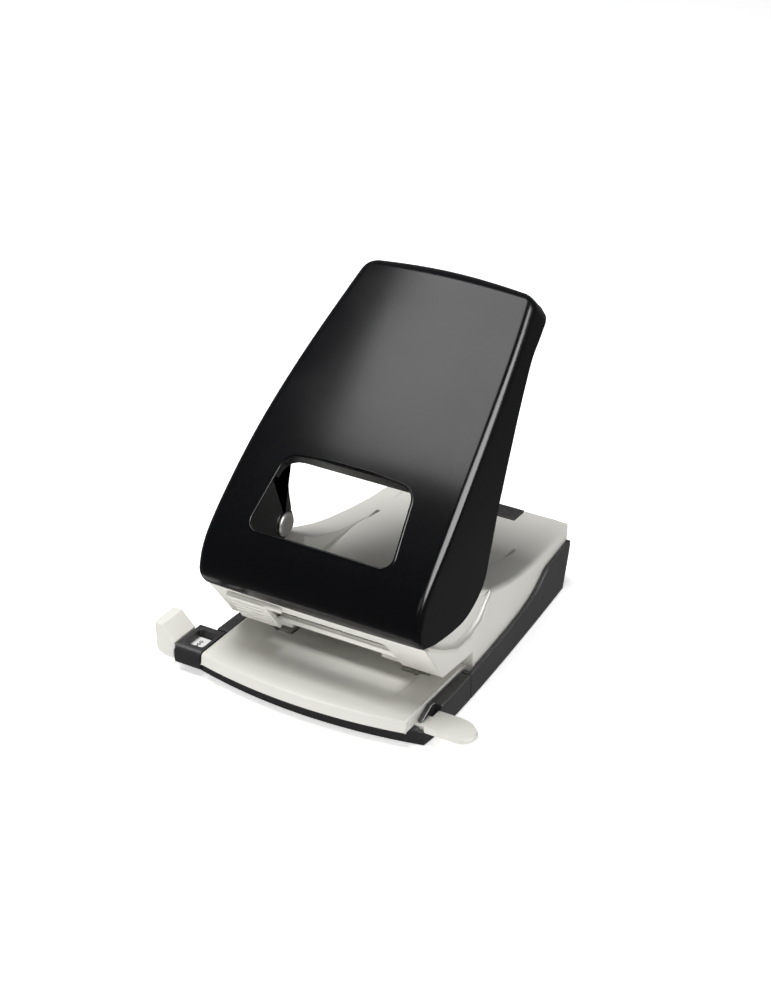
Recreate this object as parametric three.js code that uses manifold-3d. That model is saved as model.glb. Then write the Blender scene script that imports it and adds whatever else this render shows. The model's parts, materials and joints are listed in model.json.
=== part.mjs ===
// Two-hole office punch: sloping lever cover, bridge with two punches, paper table with a pull-out
// format guide, and a chip tray that folds down under the rear.
// Millimetres, +Z up. +X is the user's right hand, +Y points to the rear.
// Lengths are measured from the middle of the table's front edge line and from the surface the
// punch stands on; the last lines move everything so that the origin is under the middle of the base.
import * as THREE from 'three';
import { mergeVertices } from 'three/addons/utils/BufferGeometryUtils.js';
import Module from 'manifold-3d';

const wasm = await Module();
wasm.setup();

// ---- driving dimensions ------------------------------------------------------------------------
const ORIGIN_Y = 85; // the origin lies this far behind the table's front edge line
const GAP = 0.3; // clearance between neighbouring pieces
const SEAM_GAP = 0.55; // wider where the chip tray swings past the front base

const HOLE_X = 40; // half of the 80 mm hole spacing
const HOLE_Y = 47.8; // punch axis, 12 mm in front of the paper stop
const PAPER_STOP_Y = 59.8;
const PUNCH_R = 2.75; // 5.5 mm holes

const BASE_HALF_FRONT = 65.4; // half width of the base at its front corners
const BASE_CORNER_Y = 6.7;
const BASE_TAPER = 0.0602; // the sides close in by this much per millimetre towards the rear
const SIDE_BOW = 2.7; // and bulge out by this much in between, most of it ahead of the middle
const SIDE_LENGTH = 178;
const SHELL_INSET = 2.5; // the pale shell stands this far inside the base's sides
const BASE_REAR_Y = 171.5; // foot of the rear wall
const REAR_LEAN = 0.4; // the rear wall leans back by this much per millimetre of height
const WING_TOP = 24.5;
const SIDE_TOP = 14.2; // top of the black side beside the slot
const SEAM_Y = 52.8; // joint between the front base and the chip tray
const TRAY_FRONT_Y = 26.5;
const TRAY_HINGE_Y = 31;
const TRAY_HINGE_Z = 4.2;

const TABLE_HALF = 59;
const TABLE_BULGE = 6.5; // how far the table's front edge bows out in the middle
const TABLE_TOP = 14.5;
const TABLE_UNDER = 10.6;
const LIP_Z = 8.7; // lower edge of the table's front face
const DISH = 2; // depth of the finger recess in the table

const SLOT_TOP = 23; // underside of the bridge
const BRIDGE_FRONT_Y = 31.9;
const BRIDGE_TOP_Y = 13.2;
const BRIDGE_TOP_Z = 48.9;
const POCKET_HALF = 59.6; // half width where the lever's cheeks pass
const DECK_TOP = 33;

const HINGE_Y = 19; // lever hinge
const HINGE_Z = 52.5;
const AXLE_R = 2.5;
const BAR_Z = HINGE_Z + 6; // press bar over the punches
const COVER_HALF = 62.7; // half width of the lever cover at its foot
const COVER_NARROW = 0.0015; // the cover narrows with the square of the height above COVER_WIDE_Z
const COVER_WIDE_Z = 80;
const COVER_WALL = 2.5;
const COVER_FILLET = 4.5;
const COVER_CROWN = 2.2; // how far the middle of the face stands out of its side edges
const FOOT_FADE = 16; // height over which crown and rounding grow from the foot
const PLATE_IN = 45; // inner and outer faces of the steel lever's side plates
const PLATE_OUT = 47;
const STUD_Y = 57.2;
const STUD_Z = 65.4;
const STUD_R = 6.5;
const BAR_R = 3.5; // radius of the press bar

const FLOOR_T = 2;
const PAD_W = 16;
const PAD_D = 8;
const PAD_T = 1.2;
const FRONT_PAD = [46, 14];
const TRAY_PAD = [38, 158];
const BASE_SCREW = [40, 23.1];
const FRAME_SCREWS = [[-30, 38.5], [30, 38.5], [-30, 58], [30, 58]];
const PIN_R = 1.5;

const GUIDE_Z0 = 3.7;
const GUIDE_TOP = 14;
const GUIDE_Y0 = 1;
const GUIDE_Y1 = 24.5;
const HOLDER_OUT_X = 76;
const HOLDER_IN_X = 60.6;
const BAR_Y0 = 7.2; // format guide bar
const BAR_Y1 = 19.8;
const BAR_Z0 = 5.5;
const BAR_Z1 = 9.4;
const CHANNEL_TOP = 10.3;
const STOP_OUT_X = 90;
const KEY_X0 = 64.6; // release key
const KEY_X1 = 90;
const KEY_Y0 = 6.3;
const KEY_Y1 = 22.3;
const KEY_Z0 = 7.6;
const KEY_Z1 = 11.2;
const KEY_TRAVEL = 2.5;
const STEM_Y0 = 9;
const STEM_Y1 = 18.5;

// ---- colours -----------------------------------------------------------------------------------
const paint = (color, roughness, metalness = 0) =>
  new THREE.MeshStandardMaterial({ color, roughness, metalness });
const lightGrey = paint(0xdedcd5, 0.5);
const gloss = paint(0x060709, 0.12);
const satinBlack = paint(0x2c2b2d, 0.45);
const blackSteel = paint(0x0b0b0d, 0.35, 0.6);
const steel = paint(0x9a9894, 0.35, 1);
const springSteel = paint(0x77777a, 0.3, 1);
const rubber = paint(0x1b1b1b, 0.9);
const nylon = paint(0xf1efe6, 0.5);
const label = paint(0xf4f4f2, 0.6);

// ---- solids ------------------------------------------------------------------------------------
function solid(geometry) {
  const bare = geometry.index ? geometry.clone() : geometry;
  bare.deleteAttribute('normal');
  bare.deleteAttribute('uv');
  const merged = mergeVertices(bare, 1e-4);
  return new wasm.Manifold(new wasm.Mesh({
    numProp: 3,
    vertProperties: new Float32Array(merged.attributes.position.array),
    triVerts: new Uint32Array(merged.index.array),
  }));
}

function geometryOf(manifold) {
  const mesh = manifold.getMesh();
  const geometry = new THREE.BufferGeometry();
  geometry.setAttribute('position', new THREE.BufferAttribute(new Float32Array(mesh.vertProperties), 3));
  geometry.setIndex(new THREE.BufferAttribute(new Uint32Array(mesh.triVerts), 1));
  geometry.computeVertexNormals();
  return geometry;
}

const join = (...geometries) => geometryOf(geometries.map(solid).reduce((sum, next) => sum.add(next)));
const cut = (geometry, ...tools) =>
  geometryOf(tools.map(solid).reduce((rest, tool) => rest.subtract(tool), solid(geometry)));
const common = (first, second) => geometryOf(solid(first).intersect(solid(second)));

function box(x0, x1, y0, y1, z0, z1) {
  const geometry = new THREE.BoxGeometry(x1 - x0, y1 - y0, z1 - z0);
  return geometry.translate((x0 + x1) / 2, (y0 + y1) / 2, (z0 + z1) / 2);
}

function rodX(radius, x0, x1, y, z, sides = 24) {
  const geometry = new THREE.CylinderGeometry(radius, radius, x1 - x0, sides);
  return geometry.rotateZ(Math.PI / 2).translate((x0 + x1) / 2, y, z);
}

function rodZ(radius, x, y, z0, z1, sides = 24, topRadius = radius) {
  const geometry = new THREE.CylinderGeometry(topRadius, radius, z1 - z0, sides);
  return geometry.rotateX(Math.PI / 2).translate(x, y, (z0 + z1) / 2);
}

// A closed outline whose corners are rounded; a corner is [x, y] or [x, y, radius], and a radius never
// takes more than half of a neighbouring edge.
function rounded(corners) {
  const shape = new THREE.Shape();
  const count = corners.length;
  corners.forEach(([x, y, wanted = 0], index) => {
    const here = new THREE.Vector2(x, y);
    const before = new THREE.Vector2(...corners[(index + count - 1) % count].slice(0, 2)).sub(here);
    const after = new THREE.Vector2(...corners[(index + 1) % count].slice(0, 2)).sub(here);
    const radius = Math.min(wanted, 0.48 * before.length(), 0.48 * after.length());
    const start = here.clone().add(before.setLength(radius));
    const end = here.clone().add(after.setLength(radius));
    if (index === 0) shape.moveTo(start.x, start.y);
    else shape.lineTo(start.x, start.y);
    if (radius > 0) shape.quadraticCurveTo(x, y, end.x, end.y);
  });
  shape.closePath();
  return shape;
}

const extrude = (shape, depth, curveSegments = 5) =>
  new THREE.ExtrudeGeometry(shape, { depth, bevelEnabled: false, curveSegments });

// A shape drawn in (x, y), raised from z0 to z1.
const slab = (shape, z0, z1, segments) => extrude(shape, z1 - z0, segments).translate(0, 0, z0);

// A shape drawn in (y, z), run along X from x0 to x1.
function sideways(shape, x0, x1, segments) {
  const turn = new THREE.Matrix4().makeBasis(
    new THREE.Vector3(0, 1, 0), new THREE.Vector3(0, 0, 1), new THREE.Vector3(1, 0, 0));
  return extrude(shape, x1 - x0, segments).applyMatrix4(turn).translate(x0, 0, 0);
}

// A shape drawn in (x, z), run along Y from y0 to y1.
function endways(shape, y0, y1, segments) {
  return extrude(shape, y1 - y0, segments).rotateX(Math.PI / 2).translate(0, y1, 0);
}

function mirrored(geometry) {
  const flipped = geometry.clone().scale(-1, 1, 1);
  const faces = flipped.index ? flipped.index.array : null;
  if (faces) {
    for (let i = 0; i < faces.length; i += 3) [faces[i], faces[i + 1]] = [faces[i + 1], faces[i]];
    return flipped;
  }
  const p = flipped.attributes.position;
  for (let i = 0; i < p.count; i += 3) {
    const a = new THREE.Vector3().fromBufferAttribute(p, i);
    const b = new THREE.Vector3().fromBufferAttribute(p, i + 1);
    p.setXYZ(i, b.x, b.y, b.z);
    p.setXYZ(i + 1, a.x, a.y, a.z);
  }
  return flipped;
}

function baseHalf(y) {
  const along = Math.max(0, Math.min(1, (y - BASE_CORNER_Y) / SIDE_LENGTH)) ** 0.65;
  return BASE_HALF_FRONT - BASE_TAPER * (y - BASE_CORNER_Y) + SIDE_BOW * 4 * along * (1 - along);
}

// Points down the base's right side, drawn in by inset.
function sideLine(fromY, toY, inset = 0) {
  const count = Math.ceil(Math.abs(toY - fromY) / 15);
  return Array.from({ length: count + 1 }, (_, i) => {
    const y = fromY + ((toY - fromY) * i) / count;
    return [baseHalf(y) - inset, y];
  });
}

// Closed outline from its right half, which runs from front to rear.
const bothSides = (right) => rounded([...right, ...right.map(([x, ...rest]) => [-x, ...rest]).reverse()]);

// Front outline of base or table: sides given from the rear forward, front edge bowed out by bulge.
function bowedPlan(half, cornerY, bulge, side, steps = 16) {
  const shape = new THREE.Shape();
  shape.moveTo(...side[0]);
  side.forEach(([x, y]) => shape.lineTo(-x, y));
  for (let i = 0; i <= steps; i += 1) {
    const u = (2 * i) / steps - 1;
    shape.lineTo(u * half, cornerY - bulge * (1 - u * u));
  }
  side.slice(1).reverse().forEach(([x, y]) => shape.lineTo(x, y));
  shape.closePath();
  return shape;
}

const root = new THREE.Group();
const parts = new THREE.Group();
parts.position.y = -ORIGIN_Y;
root.add(parts);

function add(name, geometry, material) {
  const mesh = new THREE.Mesh(geometry, material);
  mesh.name = name;
  parts.add(mesh);
}

const sides = [['left', -1], ['right', 1]];

// ---- anti-slip pads ------------------------------------------------------------------------------
const padPockets = ([x, y]) => [-x, x].map((at) =>
  slab(padShape(at, y, PAD_W + 2 * GAP, PAD_D + 2 * GAP), -1, PAD_T + GAP));
const padShape = (x, y, w, d) => rounded([[x - w / 2, y - d / 2, 2], [x + w / 2, y - d / 2, 2],
  [x + w / 2, y + d / 2, 2], [x - w / 2, y + d / 2, 2]]);
const pad = (x, y) => slab(padShape(x, y, PAD_W, PAD_D), 0, PAD_T);

// ---- front base: lip, sides beside the slot, guide channel ---------------------------------------
function frontBase() {
  const plan = bowedPlan(BASE_HALF_FRONT, BASE_CORNER_Y, 8, sideLine(SEAM_Y, 15));
  const outer = slab(plan, 0, SIDE_TOP);
  const lipPlan = bowedPlan(TABLE_HALF + GAP, -GAP, TABLE_BULGE, [[TABLE_HALF + GAP, SEAM_Y + 1]]);
  const overTable = slab(lipPlan, LIP_Z - GAP, SIDE_TOP + 1);
  const frontLip = box(-70, 70, -20, 9, LIP_Z - GAP, SIDE_TOP + 1);
  const slopeFront = sideways(rounded([[6, LIP_Z - 1], [22, SIDE_TOP + 1], [-20, SIDE_TOP + 1],
    [-20, LIP_Z - 1]]), -70, 70);
  const trayRoom = box(-56.2, 56.2, TRAY_FRONT_Y, SEAM_Y + 1, -1, SIDE_TOP);
  const hollow = box(-55, 55, BAR_Y0 - GAP, TRAY_FRONT_Y - 1.5, FLOOR_T, SIDE_TOP);
  const channel = box(-70, -50, BAR_Y0 - GAP, BAR_Y1 + GAP, BAR_Z0 - GAP, CHANNEL_TOP);
  const holderSeat = box(-80, -HOLDER_IN_X + GAP, GUIDE_Y0 - GAP, GUIDE_Y1 + GAP, GUIDE_Z0, 20);
  const stemSeat = box(50, 70, STEM_Y0 - GAP, STEM_Y1 + GAP, BAR_Z0 - GAP, 9.7);
  const keySeat = box(KEY_X0 - KEY_TRAVEL - GAP, 80, KEY_Y0 - GAP, KEY_Y1 + GAP, KEY_Z0 - GAP, 20);
  const pinHoles = rodX(PIN_R + GAP, -59.3, 59.3, TRAY_HINGE_Y, TRAY_HINGE_Z);
  const pockets = padPockets(FRONT_PAD);
  const shell = cut(outer, overTable, frontLip, slopeFront, trayRoom, hollow, channel, holderSeat,
    stemSeat, keySeat, pinHoles, ...pockets);
  const [screwX, screwY] = BASE_SCREW;
  const bosses = [-screwX, screwX].map((x) => rodZ(2.8, x, screwY, FLOOR_T - 0.5, TABLE_UNDER - GAP, 16));
  const drilled = [-screwX, screwX].map((x) => rodZ(1.5, x, screwY, -1, 20, 12));
  const sunk = [-screwX, screwX].map((x) => rodZ(2.5, x, screwY, -1, 1.9, 16));
  return cut(join(shell, ...bosses), ...drilled, ...sunk);
}

// ---- paper table ---------------------------------------------------------------------------------
function paperTable() {
  const plan = bowedPlan(TABLE_HALF, 0, TABLE_BULGE, [[TABLE_HALF, PAPER_STOP_Y - GAP]]);
  const plate = slab(plan, LIP_Z, TABLE_TOP);
  const underPlan = bowedPlan(TABLE_HALF - 2.5, 3, TABLE_BULGE, [[TABLE_HALF - 2.5, PAPER_STOP_Y - 3]]);
  const under = slab(underPlan, LIP_Z - 1, TABLE_UNDER);
  const rearUnder = box(-60, 60, 5.5, PAPER_STOP_Y + 1, LIP_Z - 1, TABLE_UNDER);
  const dish = slab(rounded([[-43, 5, 9], [43, 5, 9], [41, 34, 6], [31, 42, 4], [31, 56, 3],
    [-31, 56, 3], [-31, 42, 4], [-41, 34, 6]]), TABLE_TOP - DISH, TABLE_TOP + 1);
  const cuts = [under, rearUnder, dish];
  sides.forEach(([, s]) => {
    cuts.push(box(s * HOLE_X - 7.5 - GAP, s * HOLE_X + 7.5 + GAP, HOLE_Y - 6 - GAP, HOLE_Y + 6 + GAP,
      12, 16));
    cuts.push(rodZ(4.5, s * HOLE_X, HOLE_Y, 8, 13));
  });
  const [screwX, screwY] = BASE_SCREW;
  [-screwX, screwX].forEach((x) => cuts.push(rodZ(1.5, x, screwY, 8, 12.2, 12)));
  const rims = sides.map(([, s]) => {
    const rim = rodZ(0.9, 0, 0, 0, PAPER_STOP_Y - 4, 10).rotateX(-Math.PI / 2);
    return rim.translate(s * (TABLE_HALF - 0.95), 2, TABLE_TOP - 0.1);
  });
  return join(cut(plate, ...cuts), ...rims);
}

const die = (s) => cut(
  box(s * HOLE_X - 7.5, s * HOLE_X + 7.5, HOLE_Y - 6, HOLE_Y + 6, 12.3, TABLE_TOP - 0.1),
  rodZ(PUNCH_R + GAP, s * HOLE_X, HOLE_Y, 11, 16));

// ---- body shell: bridge, arms and rear deck ------------------------------------------------------
// Height of the arms behind the bridge.
const armTop = [[66, 55], [81, 47.4], [103, 40.3], [116, 37.5], [135, 34.8], [155, DECK_TOP],
  [184.5, DECK_TOP]];
const REAR_STEP_Z = WING_TOP + GAP;
const REAR_INSET = 2.5;
const TAB_HALF = 25.2;
const rearWallY = (z) => BASE_REAR_Y + REAR_LEAN * z;

function bodySide() {
  // side view of bridge and arm
  const outline = rounded([[BRIDGE_FRONT_Y, SLOT_TOP, 0.8], [BRIDGE_TOP_Y, BRIDGE_TOP_Z],
    [15, BRIDGE_TOP_Z], [15, 54], [60, 57], ...armTop.slice(0, -1),
    [rearWallY(DECK_TOP) - 0.6, DECK_TOP, 2],
    [rearWallY(REAR_STEP_Z) - 0.6, REAR_STEP_Z], [rearWallY(REAR_STEP_Z) - REAR_INSET, REAR_STEP_Z],
    [rearWallY(3) - REAR_INSET, 3], [PAPER_STOP_Y, 3], [PAPER_STOP_Y, SLOT_TOP]]);
  return sideways(outline, 30, 70);
}

// A band on the bridge's sloping front, between two heights, from back to front millimetres proud.
const SLOPE = new THREE.Vector2(BRIDGE_TOP_Y - BRIDGE_FRONT_Y, BRIDGE_TOP_Z - SLOT_TOP).normalize();
function alongBridge(lowZ, highZ, back, front) {
  const at = (z, proud) => {
    const y = BRIDGE_FRONT_Y + ((z - SLOT_TOP) * SLOPE.x) / SLOPE.y;
    return [y - SLOPE.y * proud, z + SLOPE.x * proud];
  };
  return rounded([at(lowZ, back), at(highZ, back), at(highZ, front), at(lowZ, front)]);
}

// A narrow slit at the foot of each arm's inner wall.
const notch = (s) => rounded(s > 0 ? [[41, 129], [42.4, 142], [40.2, 143]]
  : [[-41, 129], [-40.2, 143], [-42.4, 142]]);

function bodyShell() {
  const plan = slab(bothSides([[62.2, 10], [61, 31], ...sideLine(PAPER_STOP_Y, 170, SHELL_INSET),
    [baseHalf(185) - SHELL_INSET, 185, 5]]), 0, 70);
  const right = bodySide();
  // room for the steel frame and the lever between the bridge's sides, and the hollow under each arm
  const bridgeRoom = box(0, 55, 5, 70, SLOT_TOP + 2.5, 80);
  const armHollow = sideways(rounded([[72, -1], [72, 42], [81, 43], [103, 36], [135, 31], [178, 29.5],
    [178, 12], [172, -1]]), 45.5, 51.5);
  const arm = cut(right, bridgeRoom, armHollow);
  const sideRight = common(cut(arm, box(0, 42, 66, 200, -1, 80), box(0, 53, 5, 34, -1, 80)), plan);
  // the deck between the arms
  const deck = sideways(rounded([[66, 36.5], [83, 37], [117, 36.2], [140, 34.2], [165, DECK_TOP - 0.4],
    [rearWallY(DECK_TOP) - 0.8, DECK_TOP - 0.4], [rearWallY(DECK_TOP) - 3.2, 30], [165, 30],
    [140, 31.6], [117, 33.6], [83, 34.4], [68.4, 34], [68.4, 16], [66, 16]]), -45, 45);
  const rearWall = sideways(rounded([[rearWallY(DECK_TOP) - REAR_INSET, DECK_TOP - 0.6],
    [rearWallY(3) - REAR_INSET, 3], [rearWallY(3) - REAR_INSET - 2.4, 3],
    [rearWallY(DECK_TOP) - REAR_INSET - 2.4, DECK_TOP - 0.6]]), -50, 50);
  const tongueRoom = box(-TAB_HALF - GAP, TAB_HALF + GAP, 171.7, 190, -1, 50);
  const back = cut(join(deck, rearWall), tongueRoom);
  // the bridge's sloping front wall with its cut-out, the floor plates and an inner wall
  const front = sideways(rounded([[BRIDGE_FRONT_Y, SLOT_TOP], [BRIDGE_TOP_Y, BRIDGE_TOP_Z],
    [15.4, BRIDGE_TOP_Z], [34.9, SLOT_TOP]]), -55, 55);
  const cutOut = endways(rounded([[-40, 10], [40, 10], [38.6, 21], [36.4, 40.6, 3], [-36.4, 40.6, 3],
    [-38.6, 21]]), 5, 36);
  const floorPlates = cut(box(-55, 55, 33, 67, SLOT_TOP, SLOT_TOP + 2.5), box(-26, 26, 30, 64, 20, 30));
  const innerWall = box(-48, 48, 24, 26.5, 37, 44);
  const slotBack = box(-58, 58, PAPER_STOP_Y, PAPER_STOP_Y + 2.4, 11, SLOT_TOP + 2.5);
  const punchRoom = sides.map(([, s]) => rodZ(5.3, s * HOLE_X, HOLE_Y, 20, 30));
  const pilots = FRAME_SCREWS.map(([x, y]) => rodZ(1.5, x, y, 20, 30, 12));
  const bridge = cut(join(front, innerWall), cutOut);
  const shell = join(sideRight, mirrored(sideRight), back, bridge, floorPlates, slotBack);
  // the pockets that the lever's cheeks swing through
  const pocket = rounded([[19, 47.5], [31.7, 39.3], [45, 33.2], [58.2, 33.2], [68.4, 36.6], [80, 46],
    [92, 80], [13, 80], [13, 49.4]]);
  const pockets = [sideways(pocket, POCKET_HALF, 80), sideways(pocket, -80, -POCKET_HALF)];
  const notches = sides.map(([, s]) => slab(notch(s), 30, 40));
  const lockSlot = [sideways(alongBridge(32.7, 38.3, -6, 3), -46.3, -25.7)];
  return cut(shell, ...punchRoom, ...pilots, ...pockets, ...notches, ...lockSlot);
}


// ---- chip tray -------------------------------------------------------------------------------------
function chipTray() {
  const frontY = SEAM_Y + SEAM_GAP;
  const rearPlan = bothSides([...sideLine(frontY, 170), [baseHalf(182), 182, 3]]);
  const wings = sideways(rounded([[frontY, 0], [frontY, SIDE_TOP], [112, 15.2, 8], [132, 17.6, 8],
    [149, WING_TOP, 3], [rearWallY(WING_TOP), WING_TOP, 1], [BASE_REAR_Y, 0]]), -70, 70);
  const body = common(slab(rearPlan, -1, 40), wings);
  const nose = join(
    rodX(TRAY_HINGE_Z, -55.9, 55.9, TRAY_HINGE_Y, TRAY_HINGE_Z, 32),
    box(-55.9, 55.9, TRAY_HINGE_Y, SEAM_Y + 2, 0, 2 * TRAY_HINGE_Z));
  const inset = SHELL_INSET - GAP;
  const hollowPlan = bothSides([[53.7, 33], [53.7, 56], ...sideLine(56, 182, inset)]);
  const hollowSide = sideways(rounded([[30, FLOOR_T], [30, 60], [rearWallY(60) - 2.2, 60],
    [rearWallY(FLOOR_T) - 2.2, FLOOR_T]]), -70, 70);
  const hollow = common(slab(hollowPlan, FLOOR_T, 60), hollowSide);
  const pinHoles = rodX(PIN_R + GAP, -60, 60, TRAY_HINGE_Y, TRAY_HINGE_Z, 16);
  const tableRoom = box(-TABLE_HALF - GAP, TABLE_HALF + GAP, SEAM_Y, PAPER_STOP_Y, TABLE_UNDER - GAP, 30);
  const roomHalf = baseHalf(PAPER_STOP_Y) - inset;
  const bodyRoom = box(-roomHalf, roomHalf, PAPER_STOP_Y - GAP, 63, 3 - GAP, 30);
  return cut(join(body, nose), hollow, pinHoles, tableRoom, bodyRoom, ...padPockets(TRAY_PAD));
}

const rearTab = () => sideways(rounded([[172, DECK_TOP, 0.6], [rearWallY(DECK_TOP) - 0.4, DECK_TOP, 1],
  [rearWallY(WING_TOP + GAP) - 0.2, WING_TOP + GAP], [rearWallY(WING_TOP + GAP) - 2.2, WING_TOP + GAP],
  [rearWallY(30) - 2.6, 30], [172, 30]]), -TAB_HALF, TAB_HALF);

// ---- lever -----------------------------------------------------------------------------------------
const facePath = new THREE.SplineCurve([
  [10.3, 50.2], [5, 56.8], [3.1, 62.5], [4.2, 68.9], [8.2, 76.5], [14, 83.4], [26.8, 95.5], [54.3, 119.2],
  [85.5, 142.4], [119.5, 165.7], [138.2, 178.8]].map(([y, z]) => new THREE.Vector2(y, z)));
const cheekPath = new THREE.SplineCurve([
  [150.5, 165.8], [138, 158.2], [126.5, 150.6], [109.6, 133.2], [95.1, 114.1], [83.9, 95.6], [78.5, 82.7],
  [74.2, 70.9], [69.7, 59.1], [61.9, 51.8], [50.1, 46.8], [35.4, 46.6], [20.9, 48.3]]
  .map(([y, z]) => new THREE.Vector2(y, z)));
const TOP_R = 8; // rounding between the face and the top end
const TOP_CENTRE = new THREE.Vector2(142.8, 172.2);
const CORNER_R = 11; // rounding of the face's two top corners
const ALONG = new THREE.Vector2(0.819, 0.574); // direction of the upper face
const TOP_END = TOP_CENTRE.dot(ALONG) + TOP_R;

// Half width of the cover at a point of its side view.
function coverHalf(point) {
  const rise = Math.max(0, point.y - COVER_WIDE_Z);
  const half = COVER_HALF - COVER_NARROW * rise * rise;
  const short = CORNER_R - Math.min(CORNER_R, Math.max(0, TOP_END - point.dot(ALONG)));
  return half - CORNER_R + Math.sqrt(CORNER_R * CORNER_R - short * short);
}

// The cover's face and top end in side view, from the foot up.
function coverSkin() {
  const arc = [110, 90, 70, 50, 35].map((angle) => {
    const turn = THREE.MathUtils.degToRad(angle);
    return TOP_CENTRE.clone().add(new THREE.Vector2(Math.cos(turn), Math.sin(turn)).multiplyScalar(TOP_R));
  });
  return [...facePath.getPoints(18), ...arc, new THREE.Vector2(152.6, 171.6)];
}

// As many points down the rear edge of a cheek, closer together towards the top.
const cheekEdge = (count) =>
  Array.from({ length: count }, (_, i) => cheekPath.getPointAt((i / (count - 1)) ** 1.25));

// Unit vector square to a row of points, pointing into the cover's side view.
function inwardAt(points, i) {
  const a = points[Math.max(0, i - 1)];
  const b = points[Math.min(points.length - 1, i + 1)];
  return new THREE.Vector2(b.y - a.y, a.x - b.x).normalize();
}

// A block as wide as the cover whose face is bowed and whose long edges are rounded; both fade out
// at the foot. shrink draws it in by a wall's thickness; reach pushes its open edges out.
function coverBlock(shrink, reach) {
  const skin = coverSkin();
  const foot = skin[0].clone();
  if (reach > 0) {
    skin.unshift(foot.clone().add(new THREE.Vector2(0.63, -0.78).multiplyScalar(reach)));
    skin.push(skin[skin.length - 1].clone().add(new THREE.Vector2(0.574, -0.819).multiplyScalar(reach)));
  }
  const count = skin.length;
  const edge = cheekEdge(count);
  const fillet = COVER_FILLET - shrink;
  const stations = [0, 0.3, 0.6, 0.83, 1].map((v) => ({ v, round: 0 }));
  [22.5, 45, 67.5, 90].forEach((angle) => stations.push({ v: 1, round: THREE.MathUtils.degToRad(angle) }));
  const ring = ({ v, round }, sign) => {
    const rounding = COVER_CROWN * v * v + fillet * (1 - Math.cos(round));
    const place = (p) => {
      const across = (coverHalf(p) - shrink - fillet) * v + fillet * Math.sin(round);
      return new THREE.Vector3(sign * across, p.x, p.y);
    };
    const front = skin.map((point, i) => {
      const ease = 0.2 + 0.8 * THREE.MathUtils.smoothstep(point.y - foot.y, 0, FOOT_FADE);
      const room = reach > 0 ? Infinity : 0.5 * Math.min(...edge.map((other) => other.distanceTo(point)));
      const inset = shrink + Math.min(rounding * ease, room);
      return place(point.clone().addScaledVector(inwardAt(skin, i), inset));
    });
    const back = edge.map((point, i) => place(point.clone().addScaledVector(inwardAt(edge, i), -reach)));
    return [...front, ...back];
  };
  const left = stations.slice(1).reverse().map((station) => ring(station, -1));
  const rings = [...left, ...stations.map((station) => ring(station, 1))];
  const points = rings.flat();
  const index = [];
  for (let r = 0; r < rings.length - 1; r += 1) {
    for (let i = 0; i < 2 * count; i += 1) {
      const a = r * 2 * count + i;
      const b = r * 2 * count + ((i + 1) % (2 * count));
      index.push(a, b, a + 2 * count, b, b + 2 * count, a + 2 * count);
    }
  }
  // the cheeks: a net of points between the skin and the rear edge
  [[0, -1], [(rings.length - 1) * 2 * count, 1]].forEach(([start, sign]) => {
    const rows = [];
    for (let i = 0; i < count; i += 1) {
      const [from, to] = [start + i, start + 2 * count - 1 - i];
      const row = [from];
      for (let k = 1; k < 4 && i > 0 && i < count - 1; k += 1) {
        const p = points[from].clone().lerp(points[to], k / 4);
        row.push(points.push(p.setX(sign * (coverHalf(new THREE.Vector2(p.y, p.z)) - shrink))) - 1);
      }
      rows.push([...row, to]);
    }
    const face = (a, b, c) => index.push(...(sign < 0 ? [a, b, c] : [a, c, b]));
    rows.slice(1).forEach((row, i) => {
      const before = rows[i];
      for (let k = 0; k < Math.max(row.length, before.length) - 1; k += 1) {
        if (before.length === row.length) {
          face(before[k], before[k + 1], row[k]);
          face(before[k + 1], row[k + 1], row[k]);
        } else if (before.length < row.length) {
          face(before[0], row[k + 1], row[k]);
        } else {
          face(before[k], before[k + 1], row[0]);
        }
      }
      if (before.length < row.length) face(before[0], before[1], row[row.length - 1]);
      if (before.length > row.length) face(before[before.length - 1], row[1], row[0]);
    });
  });
  const geometry = new THREE.BufferGeometry();
  geometry.setAttribute('position', new THREE.BufferAttribute(
    new Float32Array(points.flatMap((point) => point.toArray())), 3));
  geometry.setIndex(index);
  return facingOut(geometry);
}

// Turns every face over if the body encloses a negative volume.
function facingOut(geometry) {
  const p = geometry.attributes.position;
  const faces = geometry.index.array;
  let volume = 0;
  for (let i = 0; i < faces.length; i += 3) {
    const [a, b, c] = [0, 1, 2].map((k) => new THREE.Vector3().fromBufferAttribute(p, faces[i + k]));
    volume += a.dot(b.cross(c));
  }
  if (volume < 0) {
    for (let i = 0; i < faces.length; i += 3) [faces[i], faces[i + 1]] = [faces[i + 1], faces[i]];
  }
  return geometry;
}

// Places a solid drawn in (x, along the face, out of the face) on the cover's face at the window's foot.
const WINDOW_FOOT = new THREE.Vector3(0, 16.1, 83.8);
function onFace(geometry) {
  const turn = new THREE.Matrix4().makeBasis(new THREE.Vector3(1, 0, 0),
    new THREE.Vector3(0, 0.753, 0.658), new THREE.Vector3(0, -0.658, 0.753));
  return geometry.applyMatrix4(turn).translate(WINDOW_FOOT.x, WINDOW_FOOT.y, WINDOW_FOOT.z);
}

const LOBE_R = 4.2; // radius of the eyes around the hinge axle
const WEB_DEPTH = 5.4; // the steel web lies this far below the window's plane
const WEB_T = 2;
const WEB_FROM = 46;
const WEB_TO = 78;
const COVER_SCREWS = [[-28, 54], [28, 54], [-28, 74], [28, 74]];

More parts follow.
